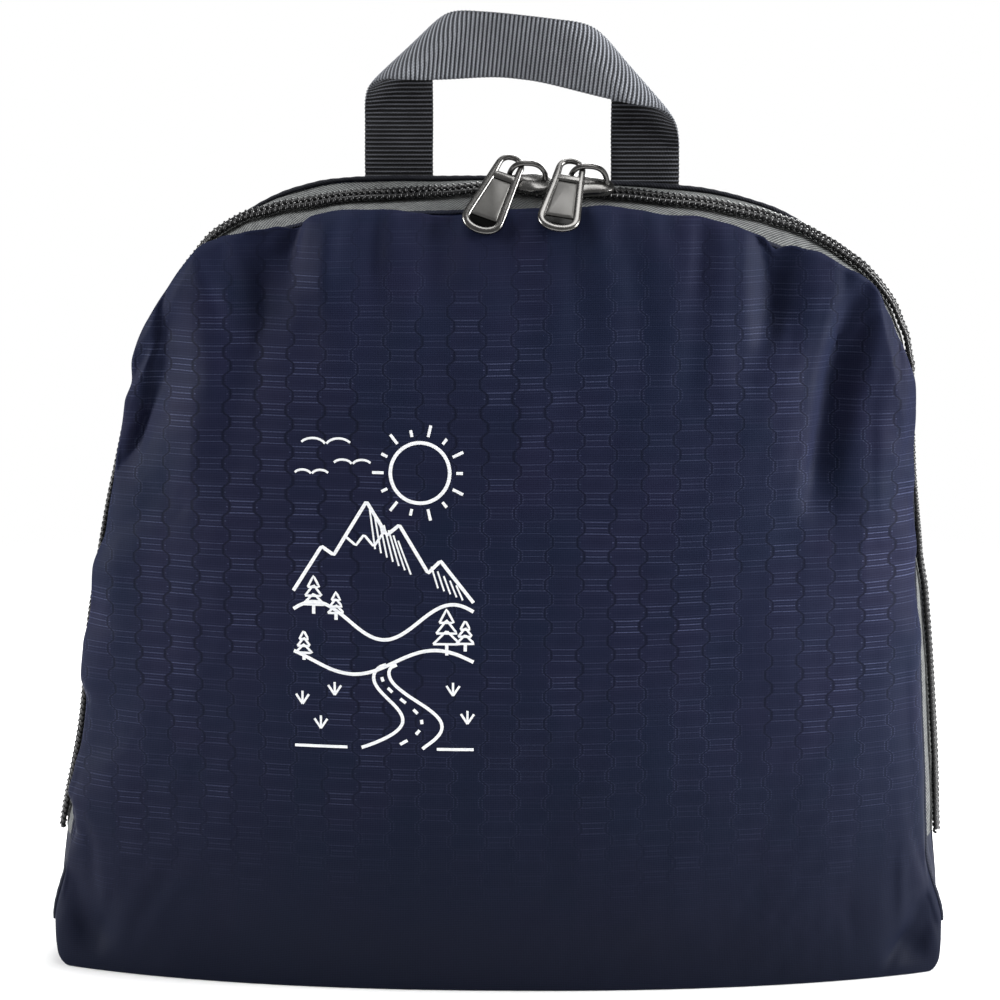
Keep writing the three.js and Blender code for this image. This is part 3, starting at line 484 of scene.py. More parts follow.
class Finish:
    """One material, or the world, built from a formula."""

    def __init__(self, name, kind="materials"):
        self.owner = getattr(bpy.data, kind).new(name)
        self.owner.use_nodes = True
        self.tree = self.owner.node_tree
        self.tree.nodes.clear()

    def node(self, kind, settings=None, inputs=None, output=0):
        node = self.tree.nodes.new("ShaderNode" + kind)
        for name, value in (settings or {}).items():
            setattr(node, name, value)
        for name, value in (inputs or {}).items():
            if isinstance(value, Wire):
                self.tree.links.new(value.socket, node.inputs[name])
            else:
                node.inputs[name].default_value = value
        return Wire(self, node.outputs[output])

    def place(self):
        """Object coordinates."""
        return self.node("TexCoord", output="Object")

    def parts(self, vector):
        split = self.node("SeparateXYZ", inputs={0: vector}).socket.node
        return [Wire(self, socket) for socket in split.outputs]

    def join(self, x, y, z=0.0):
        return self.node("CombineXYZ", inputs={0: x, 1: y, 2: z})

    def strip(self):
        """Millimetres along and across a tape, strap or cord, and its own third number."""
        return self.parts(self.node("Attribute", {"attribute_name": "strip"}, output="Vector"))

    def noise(self, vector, scale, detail=2.0, output="Fac"):
        return self.node("TexNoise", None, {"Vector": vector, "Scale": scale, "Detail": detail}, output)

    def chance(self, vector):
        return self.node("TexWhiteNoise", {"noise_dimensions": "3D"}, {"Vector": vector})

    def blend(self, factor, a, b):
        """Colours a to b."""
        a, b = ((*c, 1.0) if isinstance(c, tuple) else c for c in (a, b))
        return self.node("Mix", {"data_type": "RGBA"}, {0: factor, 6: a, 7: b}, 2)

    def shader(self, colour, roughness, relief=None, **fixed):
        """relief is in millimetres; what `fixed` names is the same all over."""
        inputs = {"Base Color": colour, "Roughness": roughness}
        if relief is not None:
            inputs["Normal"] = self.node("Bump", None, {"Height": relief, "Distance": 0.001, "Strength": 1.0})
        inputs.update({name.replace("_", " "): value for name, value in fixed.items()})
        return self.node("BsdfPrincipled", None, inputs)

    def close(self, shader, output="OutputMaterial"):
        self.tree.links.new(shader.socket, self.tree.nodes.new("ShaderNode" + output).inputs["Surface"])
        return self.owner

    def surface(self, *look, **fixed):
        return self.close(self.shader(*look, **fixed))


navy_cool, navy_warm, navy_line = (0.003, 0.0062, 0.019), (0.0062, 0.0066, 0.0215), (0.066, 0.077, 0.145)


def ripstop(name, lengthways=2, pattern=1.0):
    """Navy ripstop nylon with rows of hexagons. The weave follows the first axis and the lengthways one."""
    wide, tall = 7.8, 6.85
    f = Finish(name)
    place = f.place()
    drift = f.parts(f.noise(place, 11, 1, "Color"))
    axes = f.parts(place)
    x = axes[0] * 1000 + (drift[0] - 0.5) * 3
    z = axes[lengthways] * 1000 + (drift[1] - 0.5) * 4
    columns, rows = x / wide, z / tall
    border = columns.floor()
    odd = (border * 0.5).fract() * 2
    zigzag = (abs(rows.fract() - 0.5) * 10 - 2.5).most(-1).least(1)
    aside = abs((columns - border - 0.5) * wide - zigzag * 0.85 * (odd * 2 - 1))
    column = (columns + 0.5).floor()
    phase = rows + (column * 0.5).fract()
    group = (phase + 0.5).floor()
    above = (phase - group) * tall
    run = f.noise(f.join(column * 3.7, z * 0.03), 1.0, 1).step(0.36, 0.62)
    luck = f.chance(f.join(column, group, 3.0))
    cell = f.chance(f.join(column, phase.floor(), 8.0))
    patchy = f.noise(place, 24, 2).step(0.36, 0.64)
    worn = f.noise(f.join(x * 2.2, z * 6.0), 1.0, 2).step(0.36, 0.6)
    height_fade = axes[2].step(0.01, 0.085) * (1 - axes[2].step(0.155, 0.195) * 0.75) * pattern
    strong = above.wave(1.4, 12) * (1 - abs(above).step(1.75, 2.2))
    faint = above.wave(0.7, 6) * (1 - abs(above).step(2.5, 3.0)) * 0.3
    even_lines = (strong + faint) * aside.step(0.3, 0.55)
    lines = even_lines * (luck * 0.6 + 0.4) * (worn * 0.6 + 0.4) * (run * 0.75 + 0.25)
    strokes = (aside - 0.42).bell(0.13) * z.wave(0.62, 1) * (worn * 0.5 + 0.5)
    light = ((lines * (patchy * 0.7 + 0.3) + strokes * (1 - patchy) * 0.6) * height_fade).clamp()
    dark = (aside.bell(0.3) * 0.75 + strokes * patchy * 0.5) * height_fade * (patchy * 0.5 + 0.4)
    weft = z.wave(0.5, 1) * 0.5 + x.wave(0.42, 1) * 0.5
    warmth = f.noise(place, 26, 2).step(0.38, 0.62) * 0.5 + cell * 0.25 + run * 0.25
    tint = f.blend(warmth, navy_cool, navy_warm)
    # Painted shade: the navy darkens from 10 cm high down to the floor, to about a third of its colour at the
    # base
    tint = f.blend(axes[2].step(-0.02, 0.1), tuple(c * 0.35 for c in navy_cool), tint)
    tint = f.blend(weft * 0.1, tint, navy_line)
    tint = f.blend(light * 0.8, tint, navy_line)
    tint = f.blend(dark * 0.75, tint, (0.0012, 0.0018, 0.004))
    relief = light * 0.03 - dark * 0.03 + weft * 0.008 + f.noise(place, 240, 3) * 0.07
    rough = f.noise(place, 60, 3) * 0.14 + 0.56 - light * 0.12
    return f.surface(tint, rough, relief, Sheen_Weight=0.02, Sheen_Roughness=0.3, Specular_IOR_Level=0.055,
                     Sheen_Tint=(0.35, 0.45, 0.9, 1))


def tape_weave(name):
    f = Finish(name)
    along, across, _ = f.strip()
    twill = (along + abs(across) * 0.9).wave(0.95, 2)
    threads = across.wave(0.55, 1)
    wear = f.noise(f.place(), 420, 3)
    shade = twill * (threads * 0.5 + 0.5) * 0.75 + (wear - 0.3) * 0.5
    relief = twill * 0.16 + threads * 0.07 + wear * 0.12
    tint = f.blend(shade, (0.04, 0.042, 0.044), (0.27, 0.28, 0.275))
    return f.surface(tint, 0.85 - twill * 0.1, relief, Specular_IOR_Level=0.2)


def webbing_weave(name):
    f = Finish(name)
    along, across, face = f.strip()
    rib = along.wave(strap_rib, 1)
    warp = (across + (along / strap_rib).floor() * 0.36).wave(0.72, 1)
    edge = abs(across).step(7.6, 8.3)
    wear = f.noise(f.place(), 180, 3)
    light = rib ** 0.9 * (warp * 0.5 + 0.5) * (wear * 0.5 + 0.68)
    shade = rib ** 3 * (warp * 0.4 + 0.6) * (wear + 0.5)
    # Painted shade: the sheet with third number 0, which faces the camera on the legs, gets a darker copy of the
    # webbing with near-black rib valleys; the sheet with third number 1, seen on the grip, has the webbing's own
    # colour
    inner = f.blend(shade, (0.0015, 0.0015, 0.002), (0.12, 0.125, 0.145))
    outer = f.blend(light.clamp(), (0.018, 0.019, 0.024), (0.3, 0.315, 0.35))
    tint = f.blend(face, inner, f.blend(edge * 0.4, outer, (0.05, 0.053, 0.06)))
    return f.surface(tint, 0.7 - rib * 0.12, rib * 0.18 + warp * 0.06 + wear * 0.05, Specular_IOR_Level=0.25)


def bias_tape(name, dark, light):
    f = Finish(name)
    along, across, _ = f.strip()
    ribs = (along + across * 0.6).wave(0.8, 1)
    wear = f.noise(f.place(), 260, 3)
    tint = f.blend(ribs * 0.5 + wear * 0.4, dark, light)
    return f.surface(tint, 0.75, ribs * 0.08 + wear * 0.1, Specular_IOR_Level=0.2)


def coil_nylon(name):
    f = Finish(name)
    wear = f.noise(f.place(), 700, 2)
    tint = f.blend(wear, (0.0015, 0.0015, 0.002), (0.009, 0.009, 0.01))
    return f.surface(tint, wear * 0.2 + 0.2, wear * 0.03, Specular_IOR_Level=0.4)


def gunmetal(name, dark=(0.075, 0.073, 0.07), light=(0.2, 0.196, 0.19), dull=0.14):
    f = Finish(name)
    place = f.place()
    x, y, z = (part * scale for part, scale in zip(f.parts(place), (2600, 2600, 260)))
    cloud = f.noise(place, 160, 3)
    brushed = f.noise(f.join(x, y, z), 1.0, 2)
    tint = f.blend(cloud * 0.6 + brushed * 0.4, dark, light)
    return f.surface(tint, cloud * 0.14 + brushed * 0.1 + dull, brushed * 0.006 + cloud * 0.02, Metallic=1.0)


def thread(name, colour):
    f = Finish(name)
    twist = f.noise(f.place(), 1500, 2)
    tint = f.blend(twist, tuple(c * 0.5 for c in colour), colour)
    return f.surface(tint, 0.6, twist * 0.05, Sheen_Weight=0.2)


def print_ink(name):
    f = Finish(name)
    place = f.place()
    weft = (f.parts(place)[2] * 1000).wave(0.75, 2)
    worn = f.noise(place, 900, 3).step(0.3, 0.6)
    tint = f.blend(weft * 0.25 + (1 - worn) * 0.3, (0.82, 0.83, 0.84), (0.5, 0.52, 0.58))
    return f.surface(tint, 0.55, weft * 0.03 + worn * 0.02)


navy = ripstop("navy_ripstop")
navy_base = ripstop("navy_ripstop_base", 1, 0.6)
grey_tape = tape_weave("grey_zip_tape")
webbing = webbing_weave("grey_webbing")
binding_cloth = bias_tape("dark_bias_tape", (0.002, 0.0025, 0.005), (0.01, 0.011, 0.018))
navy_fold = bias_tape("navy_turned_edge", (0.002, 0.003, 0.008), (0.006, 0.009, 0.024))
black_coil = coil_nylon("black_coil_nylon")
metal = gunmetal("gunmetal_plating")
plate_metal = gunmetal("gunmetal_plate", (0.1, 0.098, 0.095), (0.17, 0.167, 0.16), 0.34)
# Near-black metal for the pull's recess below the plate: painted shade
recess_shade_metal = gunmetal("gunmetal_recess_painted_shade", (0.004, 0.004, 0.004), (0.02, 0.02, 0.02))
navy_thread = thread("navy_thread", (0.03, 0.035, 0.07))
grey_thread = thread("grey_thread", (0.12, 0.125, 0.135))
white_ink = print_ink("white_print")


# The front cloth
def front_shape(across, up, folded=True):
    flat = patch(front_seam, across, up)
    x, z = flat[..., 0], flat[..., 2]
    depth = belly_depth * profile_at(up)[:, None] * fullness(across)[None, :]
    if folded:
        gather_reach, gather_width = 11, 15.5
        below = (1 - up[:, None]) * height / gather_reach
        gathers = np.cos(full_turn * x / gather_width + 1.5 * ripple(x, z, 60, 5))
        gathers = 0.4 * below * np.exp(1 - below) * gathers
        valleys = np.minimum(crease_depth(x, z) + gathers, 0.5 * depth)
        depth = depth - off_edge(across, up, (0, 0.06), (0, 0.03)) * valleys
    return spots(x, -depth, z)


def settle(grid, growth, limit):
    """How far the cloth moves, held at its edges, a little too large for them and pressed from inside."""
    start, faces = grid_mesh(grid)
    mesh = bpy.data.meshes.new("settling")
    mesh.from_pydata([tuple(p) for p in start], [], faces)
    cloth = in_scene("settling", mesh)
    held = cloth.vertex_groups.new(name="held")
    full = cloth.vertex_groups.new(name="full")
    rim = np.ones(grid.shape[:2], bool)
    rim[1:-1, 1:-1] = False
    held.add(np.flatnonzero(rim).tolist(), 1.0, "REPLACE")
    for i, weight in enumerate(growth.ravel()):
        full.add([i], float(weight), "REPLACE")
    made = cloth.modifiers.new("cloth", "CLOTH")
    for name, value in (
        ("quality", 6), ("mass", 0.1), ("tension_stiffness", 12), ("compression_stiffness", 12),
        ("shear_stiffness", 4), ("bending_stiffness", 0.02), ("air_damping", 3), ("use_pressure", True),
        ("uniform_pressure_force", 3), ("vertex_group_mass", "held"), ("vertex_group_shrink", "full"),
        ("shrink_min", 0.0), ("shrink_max", -0.07),
    ):
        setattr(made.settings, name, value)
    made.settings.effector_weights.gravity = 0
    made.collision_settings.use_collision = False
    last = 20
    made.point_cache.frame_start, made.point_cache.frame_end = 1, last
    for step in range(1, last + 1):
        bpy.context.scene.frame_set(step)
    ready = cloth.evaluated_get(bpy.context.evaluated_depsgraph_get()).data
    settled = np.zeros(len(ready.vertices) * 3)
    ready.vertices.foreach_get("co", settled)
    moved = (settled.reshape(-1, 3) - start) * 1000
    bpy.data.objects.remove(cloth)
    bpy.context.scene.frame_set(1)
    reach = np.linalg.norm(moved, axis=1, keepdims=True)
    return (moved * np.minimum(1, limit / np.maximum(reach, 1e-6))).reshape(grid.shape)


def finer(field):
    """A grid of twice as many steps, with new points halfway between the old ones."""
    for axis in (0, 1):
        field = np.moveaxis(field, axis, 0)
        dense = np.empty((len(field) * 2 - 1,) + field.shape[1:])
        dense[::2] = field
        dense[1::2] = (field[:-1] + field[1:]) / 2
        field = np.moveaxis(dense, 0, axis)
    return field


def overhang(grid, across, up):
    """Lets the cloth bulge over the seam: how far each point goes outwards and forwards."""
    side_inset = (np.minimum(across, 1 - across) * 2 * half_width)[None, :]
    top_inset = ((1 - up) * height)[:, None]
    moved, weight = np.zeros_like(grid), np.zeros(grid.shape[:2])
    for shares, here, inset, times, more in (
        (mix(low_left, high_left, up)[:, None], across[None, :] < 0.5, side_inset, 1.6, -0.6),
        (mix(low_right, high_right, up)[:, None], across[None, :] >= 0.5, side_inset, 1.6, -0.6),
        (mix(high_left, high_right, across)[None, :], up[:, None] > 0.3, top_inset, 1, 3.0),
    ):
        reach = read_table(cloth_reach, shares)
        far = (1 - smooth(4, 32, inset)) * here
        out = smooth(0, 3.4, inset) * far * np.maximum(reach * times + more * np.minimum(reach, 1), 0)
        ahead = smooth(0.4, 5, inset) * far * reach * 0.35
        moved += outward(shares) * out[..., None] - backwards * ahead[..., None]
        weight += far
    return moved / np.maximum(weight, 1)[..., None]


def front_cloth():
    flat_across, flat_up = even(201), even(171)
    across = mix(flat_across, 0.5 - 0.5 * np.cos(math.pi * flat_across), 0.86)
    up = mix(flat_up, np.sin(math.pi / 2 * flat_up), 0.9)
    grid = front_shape(across, up)
    x, z = grid[..., 0], grid[..., 2]
    rim = off_edge(across, up, (0, 0.05), (0, 0.02))
    every = slice(None, None, 2)
    top, sides = smooth(0.72, 0.97, up[every]), smooth(0.72, 0.98, np.abs(2 * across[every] - 1))
    growth = 0.12 + 0.88 * np.maximum(top[:, None], sides[None, :] * 0.8)
    grid = grid + finer(settle(grid[every, every], growth, 2.6)) * rim[..., None]
    fine = 0.75 * fold_depth(x, z) + 0.22 * ripple(x, z, 46, 4) + 0.1 * ripple(x * 1.6, z, 13, 9)
    pucker_reach, pucker_width = 8, 6.1
    pucker = 0.42 * np.exp(-(1 - up[:, None]) * height / pucker_reach)
    pucker = pucker * np.cos(full_turn * x / pucker_width + 2 * ripple(x, z, 40, 2))
    hang = overhang(grid, across, up) * smooth(0, 0.05, up)[:, None, None]
    grid[..., 1] += rim * (fine + pucker)
    grid += hang
    normals = unit(np.cross(np.gradient(grid, axis=1), np.gradient(grid, axis=0)))
    shell = Shell().sheet(grid, grid - normals * cloth_thickness)
    return shell.piece("front_cloth", [navy], "cloth", "front_panel"), grid


def back_cloth():
    across, up = grid_shares(90, 80)
    flat = patch(back_rim, across, up)
    x, z = flat[..., 0], flat[..., 2]
    swell = off_edge(across, up, (0.1, 0.5), (0.1, 0.5))
    waves = 0.5 * ripple(x, z, 52, 21) + 0.14 * ripple(x, z * 0.7, 15, 22) + 0.4 * fold_depth(-x, z)
    waves = off_edge(across, up, (0.04, 0.24), (0.02, 0.1)) * np.maximum(waves, -0.6 - 3 * swell)
    outer = spots(x, back_seam_y + back_bulge * swell + waves, z)
    shell = Shell().sheet(outer, outer - backwards * cloth_thickness)
    return shell.piece("back_cloth", [navy], "cloth", "back_panel"), outer


def front_reach(share):
    """How far the front cloth's lower edge stands forward of the seam."""
    across = np.clip((share - low_left) / (low_right - 1 - low_left), 0, 1)
    return base_bow * fullness(across)


def base_cloth():
    shares = np.linspace(share_of(zip_left), share_of(zip_right) - 1, 180)
    step = 1e-3
    slope = (front_reach(shares + step) - front_reach(shares - step)) / (2 * step * outline_length)
    front_margin, back_margin = np.minimum(2.6, np.hypot(1, slope)) * 1.5, 1.2
    front = front_seam(shares)
    front[:, 1] -= front_reach(shares)
    back = back_seam(shares)
    wide = np.linalg.norm(back - front, axis=1)[:, None]
    inward = -outward(shares)[:, None]
    steps = even(12)
    t = mix(front_margin[:, None] / wide, 1 - back_margin / wide, steps[None, :])[..., None]
    outer = mix(front[:, None], back[:, None], t)
    rise = smooth(1.5, 12, outer[..., 2]) * 0.35 * np.sin(math.pi * steps)[None, :]
    waves = ripple(outer[..., 0] + outer[..., 1] * 2, outer[..., 2] * 2, 26, 31)
    outer = outer + inward * (rise * (waves + 0.4))[..., None]
    shell = Shell().sheet(outer, outer + inward * base_thickness)
    return shell.piece("base_cloth", [navy_base], "cloth", "base_gusset"), outer


# The zip
def share_of_top(x):
    """Where the back seam's top passes x."""
    shares = np.linspace(high_left, high_right, 4000)
    return float(np.interp(x, outline_at(row_at(shares))[:, 0], shares))


zip_margin = 1.2 / outline_length
zip_from, zip_to = share_of(zip_left) + zip_margin, share_of(zip_right) - zip_margin
meeting = share_of_top(sliders_middle_x)
parting_share = (slider_spacing / 2 + slider_length / 4) / outline_length


def parting(share):
    """How far the zip's two rows stand apart between the sliders."""
    apart = np.abs(share - meeting) / parting_share
    return np.where(apart < 1, zip_opening * (0.5 + 0.5 * np.cos(math.pi * np.minimum(apart, 1))), 0)


def zip_tape(name, node, side):
    shares = np.linspace(zip_from, zip_to, 520)[:, None]
    wide = np.linalg.norm(back_seam(shares) - front_seam(shares), axis=-1)
    margin = 0.0 if side < 0 else 0.5
    edge, middle = 0.5 + side * (0.5 - margin / wide), 0.5 + side * (seam_gap / 2 + parting(shares)) / wide
    steps = even(9)[None, :]
    t = mix(edge, middle, steps)
    point, _, _, out = band_frame(shares, t)
    length = shares * outline_length
    wavy = 0.14 * ripple(length, t * wide, 18, 41) * np.sin(math.pi * steps)
    outer = point + out * wavy[..., None]
    strip = spots(length, (t - 0.5) * wide, 0.0)
    shell = Shell().sheet(outer, outer - out * tape_thickness, np.stack([strip, strip]))
    shell.piece(name, [grey_tape], "tape", node)


def coil_row(name, node, side):
    """One row of the coil: a filament wound round and round, with a dark cord through it."""
    pitch, radius, per_turn, sides = 1.5, 0.36, 11, 5
    dense = np.linspace(zip_from, zip_to, 900)
    point, _, back, out = band_frame(dense, 0.5)
    middle = side * (coil_width / 2 + 0.02 + parting(dense))
    centre = point + back * middle[:, None] + out * (seam_gap + coil_height / 2)
    run = run_along(centre)
    walk = np.linspace(0, run[-1], int(run[-1] / pitch * per_turn))
    centre, back, out = (walk_along(field, run, walk) for field in (centre, back, out))
    back, out = unit(back), unit(out)
    angle = side * full_turn * (walk / pitch + (0.25 if side > 0 else 0.0))
    round_back, round_out = back * np.cos(angle)[:, None], out * np.sin(angle)[:, None]
    line = centre + round_back * (coil_width / 2 + 0.08 - radius) + round_out * (coil_height / 2 - radius)
    ahead = unit(np.gradient(line, axis=0))
    across = unit(np.cross(ahead, unit(round_back + round_out)))
    shell = Shell()
    shell.loft(sweep(line, np.cross(across, ahead), across, ring(sides, radius, radius)),
               strip=np.repeat(spots(walk, 0.0, 0.0)[:, None], sides, 1))
    core = slice(None, None, per_turn)
    shell.loft(sweep(centre[core], back[core], out[core], ring(6, coil_width * 0.36, coil_height * 0.34)))
    shell.piece(name, [black_coil], "coil", node, angle=80)


def seam_roll(shares, centre, sideways, upwards, wide, tall, seed, sides=8):
    """A turned edge of cloth along a seam, with the small waves that sewing leaves."""
    length = shares * outline_length
    swell = 1 + 0.1 * ripple(length, 0.0, 14, seed) + 0.07 * np.cos(full_turn * length / 3.1)
    rings = sweep(centre, sideways, upwards, ring(sides, wide, tall)[None] * swell[:, None, None])
    return Shell().loft(rings, strip=spots(length[:, None], np.arange(sides) * 0.6, 0.0))


def seam_edges():
    """The front cloth's turned edge, and the binding round the back seam."""
    shares = np.linspace(low_left + 0.002, low_right - 0.002, 640)
    point, _, back, out = band_frame(shares, 0.0)
    roll = seam_roll(shares, point + back * 0.35 + out * 0.1, back, out, 0.8, 0.42, 51)
    roll.piece("front_turned_edge", [navy_fold], "cloth", angle=80)
    shares = np.linspace(zip_from, zip_to, 640)
    out = outward(shares)
    roll = seam_roll(shares, back_rim(shares) + out * 0.35 - backwards * 0.5, out, backwards, 0.66, 0.95, 61, 10)
    roll.piece("bound_back_edge", [binding_cloth], "binding", "back_binding", angle=80)


# Sliders and pulls
def slider_frame(side):
    share = meeting + side * slider_spacing / 2 / outline_length
    return band_frame(np.array(share), 0.5)


def slider(side, name):
    """A domed plate over the coil and a flat one under it, the post between them and the bridge on top."""
    point, along, back, out = slider_frame(side)
    basis = np.stack([-side * along, -side * back, out])
    shell = Shell()
    turn = np.linspace(0, full_turn, 36, endpoint=False)
    reach = slider_length / 2 * np.cos(turn)
    tail_half, nose_half = 4.0, 5.2
    swell = mix(tail_half, nose_half, smooth(-2, 3, reach))
    plan = spots(reach, bulge(np.sin(turn), 0.62) * swell)
    dome = ((0.9, -0.55), (0.98, -0.5), (1.0, -0.2), (1.0, 0.75), (0.96, 1.0), (0.86, 1.25), (0.66, 1.75),
            (0.4, 2.15), (0.12, 2.3))
    lower = ((0.9, 0.0), (1.0, -0.25), (1.0, -0.8), (0.9, -1.05))
    for rings, level in ((dome, plate_under), (lower, -1.5)):
        shell.loft(np.array([[(x * k, y * k, level + z) for x, y in plan] for k, z in rings]) @ basis + point)
    post = np.array([[(2.6 + x, y, z) for x, y in ring(12, 1.5, 0.8)] for z in (-2.0, plate_under + 0.3)])
    shell.loft(post @ basis + point)
    t = np.linspace(0, math.pi, 34)
    span, foot_level = (bridge_span - bridge_bar) / 2, plate_top - 0.2
    rise = bridge_rise - bridge_bar / 2 + 0.2
    arch = spots(-span * bulge(np.cos(t), 0.8), 0.0, foot_level + rise * bulge(np.sin(t), 0.8))
    ahead = unit(np.gradient(arch, axis=0))
    foot = 1 + 0.5 * np.exp(-np.minimum(t, math.pi - t) / 0.18)
    section = ring(12, 0.82, 0.62, 2.6)[None] * foot[:, None, None]
    shell.loft(sweep(arch, backwards, np.cross(ahead, backwards), section) @ basis + point)
    shell.piece("slider_body_" + name, [metal], "metal", "slider_" + name, angle=35)


def pull_line():
    """The middle of the pull's rim, seen from its face: an eye that widens to a round end."""
    steps, eye_rim, rim = 110, 0.62, 0.95
    top, eye_half, end_half, low, end_round = 3.6, 3.7, 5.3, -21.0, 4.4
    angle = np.linspace(-math.pi / 2, math.pi / 2, 24)
    eye = spots(eye_half * np.sin(angle), top * np.cos(angle) ** 0.9)
    turn = np.linspace(0, math.pi, 26)
    end = spots(end_half * np.cos(turn), low + end_round - end_round * np.sin(turn) ** 0.85)
    closed = np.concatenate([eye, end, eye[:1]])
    run = run_along(closed)
    line = walk_along(closed, run, np.linspace(0, run[-1], steps, endpoint=False))
    for _ in range(3):
        line = (np.roll(line, 1, 0) + 2 * line + np.roll(line, -1, 0)) / 4
    ahead = unit(np.roll(line, -1, 0) - np.roll(line, 1, 0))
    inner = spots(ahead[:, 1], -ahead[:, 0])
    deep = np.where(line[:, 1] > 0, eye_rim, rim)
    deep = np.convolve(np.concatenate([deep[-6:], deep, deep[:6]]), np.ones(13) / 13, "valid")
    return line + inner * deep[:, None], inner, deep


def pull(side, name):
    """A tab with a rim, an eye at its top, a bar under the eye, a plate and the recess behind it, whose
    near-black colour is painted shade.
    """
    lean, drop = (math.radians(v) for v in pull_rest[name])
    point, along, _, out = slider_frame(side)
    hook = point - along * (bridge_span - bridge_bar) / 2 + out * (plate_top + hook_rise)
    level = unit(np.cross(along, (0, 0, 1)))
    down = unit(level * math.cos(drop) + np.array((0, 0, -math.sin(drop))))
    face = -unit(np.cross(along, down))
    leaned = down * math.cos(lean) - np.cross(face, down) * math.sin(lean)
    basis = np.stack([unit(np.cross(face, leaned)), -face, -leaned])
    shell = Shell()
    line, inner, deep = pull_line()
    centre, inwards = (spots(flat[:, 0], 0.0, flat[:, 1]) for flat in (line, inner))
    corners = ring(14, 1.02, 0.68, 2.5)
    section = spots(corners[None, :, 0] * deep[:, None], corners[None, :, 1])
    shell.loft(sweep(centre, inwards, backwards, section) @ basis + hook, closed=True)
    for high, low, high_half, low_half, near, far, soft, slot in (
        (-2.3, -4.5, 3.2, 3.3, -0.66, 0.6, 0.3, 0),
        (-4.75, -16.4, 2.55, 3.45, -0.62, 0.5, 0.35, 2),
        # The recess behind the plate, in near-black metal as painted shade
        (-3.4, -18.6, 3.0, 4.2, -0.02, 0.55, 0.12, 1),
    ):
        corners = np.array([(-high_half, high), (high_half, high), (low_half, low), (-low_half, low)])
        middle = corners.mean(0)
        following = np.roll(corners, -1, 0)
        sides = np.concatenate([[mix(a, b, t) for t in (0, 0.12, 0.5, 0.88)] for a, b in zip(corners, following)])
        rings = []
        steps = ((2, near), (1, near + soft * 0.3), (0, near + soft), (0, far - soft), (1, far))
        for softer, y in steps:
            flat = middle + (sides - middle) * (1 - softer * soft / np.abs(corners - middle).max(0))
            rings.append(spots(flat[:, 0], y, flat[:, 1]))
        shell.loft(np.array(rings) @ basis + hook, slot)
    node = "pull_" + name
    shell.piece("pull_tab_" + name, [metal, recess_shade_metal, plate_metal], "metal", node, node, 35)


# The handle
strap_corners = np.array([(x, 0, back_seam(share_of_top(x))[2] + rise) for x, rise in (left_leg, right_leg)])
grip_half = np.linalg.norm(strap_corners[1] - strap_corners[0]) / 2


def strap_point(along, across):
    """Where a point of the flat strap goes: folded over at both corners. Gives the point and its normal."""
    leg_plane = back_seam_y + seam_gap + strap_thickness / 2
    grip_plane, half_roll = leg_plane - 2 * strap_roll, math.pi * strap_roll
    middle, grip = strap_corners.mean(0), unit(strap_corners[1] - strap_corners[0])
    up = np.array([-grip[2], 0, grip[0]])
    side = np.where(along < 0, -1.0, 1.0)[:, None]
    outwards = grip * side
    axis = unit(outwards + (0, 0, -1.0))
    away = spots(-axis[:, 2], 0.0, axis[:, 0]) * side
    start = middle + outwards * grip_half - away * (half_roll / 2)
    offset = middle + outwards * np.abs(along)[:, None] + up * across[:, None] - start
    down, beyond = np.sum(offset * axis, -1), np.sum(offset * away, -1)
    angle = np.clip(beyond / half_roll, 0, 1) * math.pi
    past = np.maximum(0, beyond - half_roll)
    aside = np.minimum(beyond, 0) + strap_roll * np.sin(angle) - past
    point = start + axis * down[:, None] + away * aside[:, None]
    point[:, 1] = grip_plane + strap_roll * (1 - np.cos(angle))
    return point, away * np.sin(angle)[:, None] - backwards * np.cos(angle)[:, None]


def handle():
    tilt, lift, lane_count = 0.45, 2.2, 15
    low, high = -(grip_half + left_leg[1] + strap_tail), grip_half + right_leg[1] + strap_tail
    along = np.linspace(low, high, 860)
    lanes = np.linspace(-1, 1, lane_count)
    level = 1 - smooth(0.05, 1.0, np.abs(along) / grip_half)
    rib = np.cos(full_turn * along / strap_rib)
    wander, bow = 0.12 * ripple(along, 0.0, 30, 71), 0.5 * ripple(along, 0.0, 70, 72)
    faces = []
    for face in (1, -1):
        rows = []
        for lane in lanes:
            across = lane * strap_width / 2 + (wander + 0.05 * np.sign(lane) * rib)
            point, normal = strap_point(along, across)
            point[:, 1] -= across * np.sin(tilt * level)
            point[:, 2] += across * (np.cos(tilt * level) - 1) + lift * level
            slack = np.where(point[:, 2] > 205, 0.3, 0.0) * np.cos(lane * math.pi / 2) * bow
            thick = strap_thickness / 2 * (1 - 0.55 * np.abs(lane) ** 10) + 0.1 * rib - 0.05
            rows.append(point + normal * (face * thick + slack)[:, None])
        faces.append(np.stack(rows, 1))
    # Third number 1 on the sheet seen on the grip; 0 on the sheet seen on the legs, which gets painted shade
    strip = np.stack([spots(along[:, None], lanes * strap_width / 2, unshaded_share) for unshaded_share in (1.0, 0.0)])
    Shell().sheet(*faces, strip).piece("carry_handle", [webbing], "webbing", "handle", angle=60)


# Stitches
def stitch_lines(paths, length=2.4, gap=0.9, radius=0.24):
    """Rows of stitches along lines of points, proud of the back."""
    shell = Shell()
    t = even(5)
    fat = np.array([0.5, 0.95, 1, 0.95, 0.5])[:, None, None]
    lift = backwards * (radius * (0.9 * np.sin(math.pi * t) - 0.15))[:, None]
    for points in paths:
        run = run_along(points)
        count = max(1, int(run[-1] / (length + gap)))
        pace = run[-1] / count
        for i in range(count):
            line = walk_along(points, run, i * pace + length / (length + gap) * pace * t) + lift
            ahead = unit(np.gradient(line, axis=0))
            sideways = unit(np.cross(ahead, backwards))
            shell.loft(sweep(line, sideways, np.cross(sideways, ahead), ring(6, radius, radius)[None] * fat))
    return shell


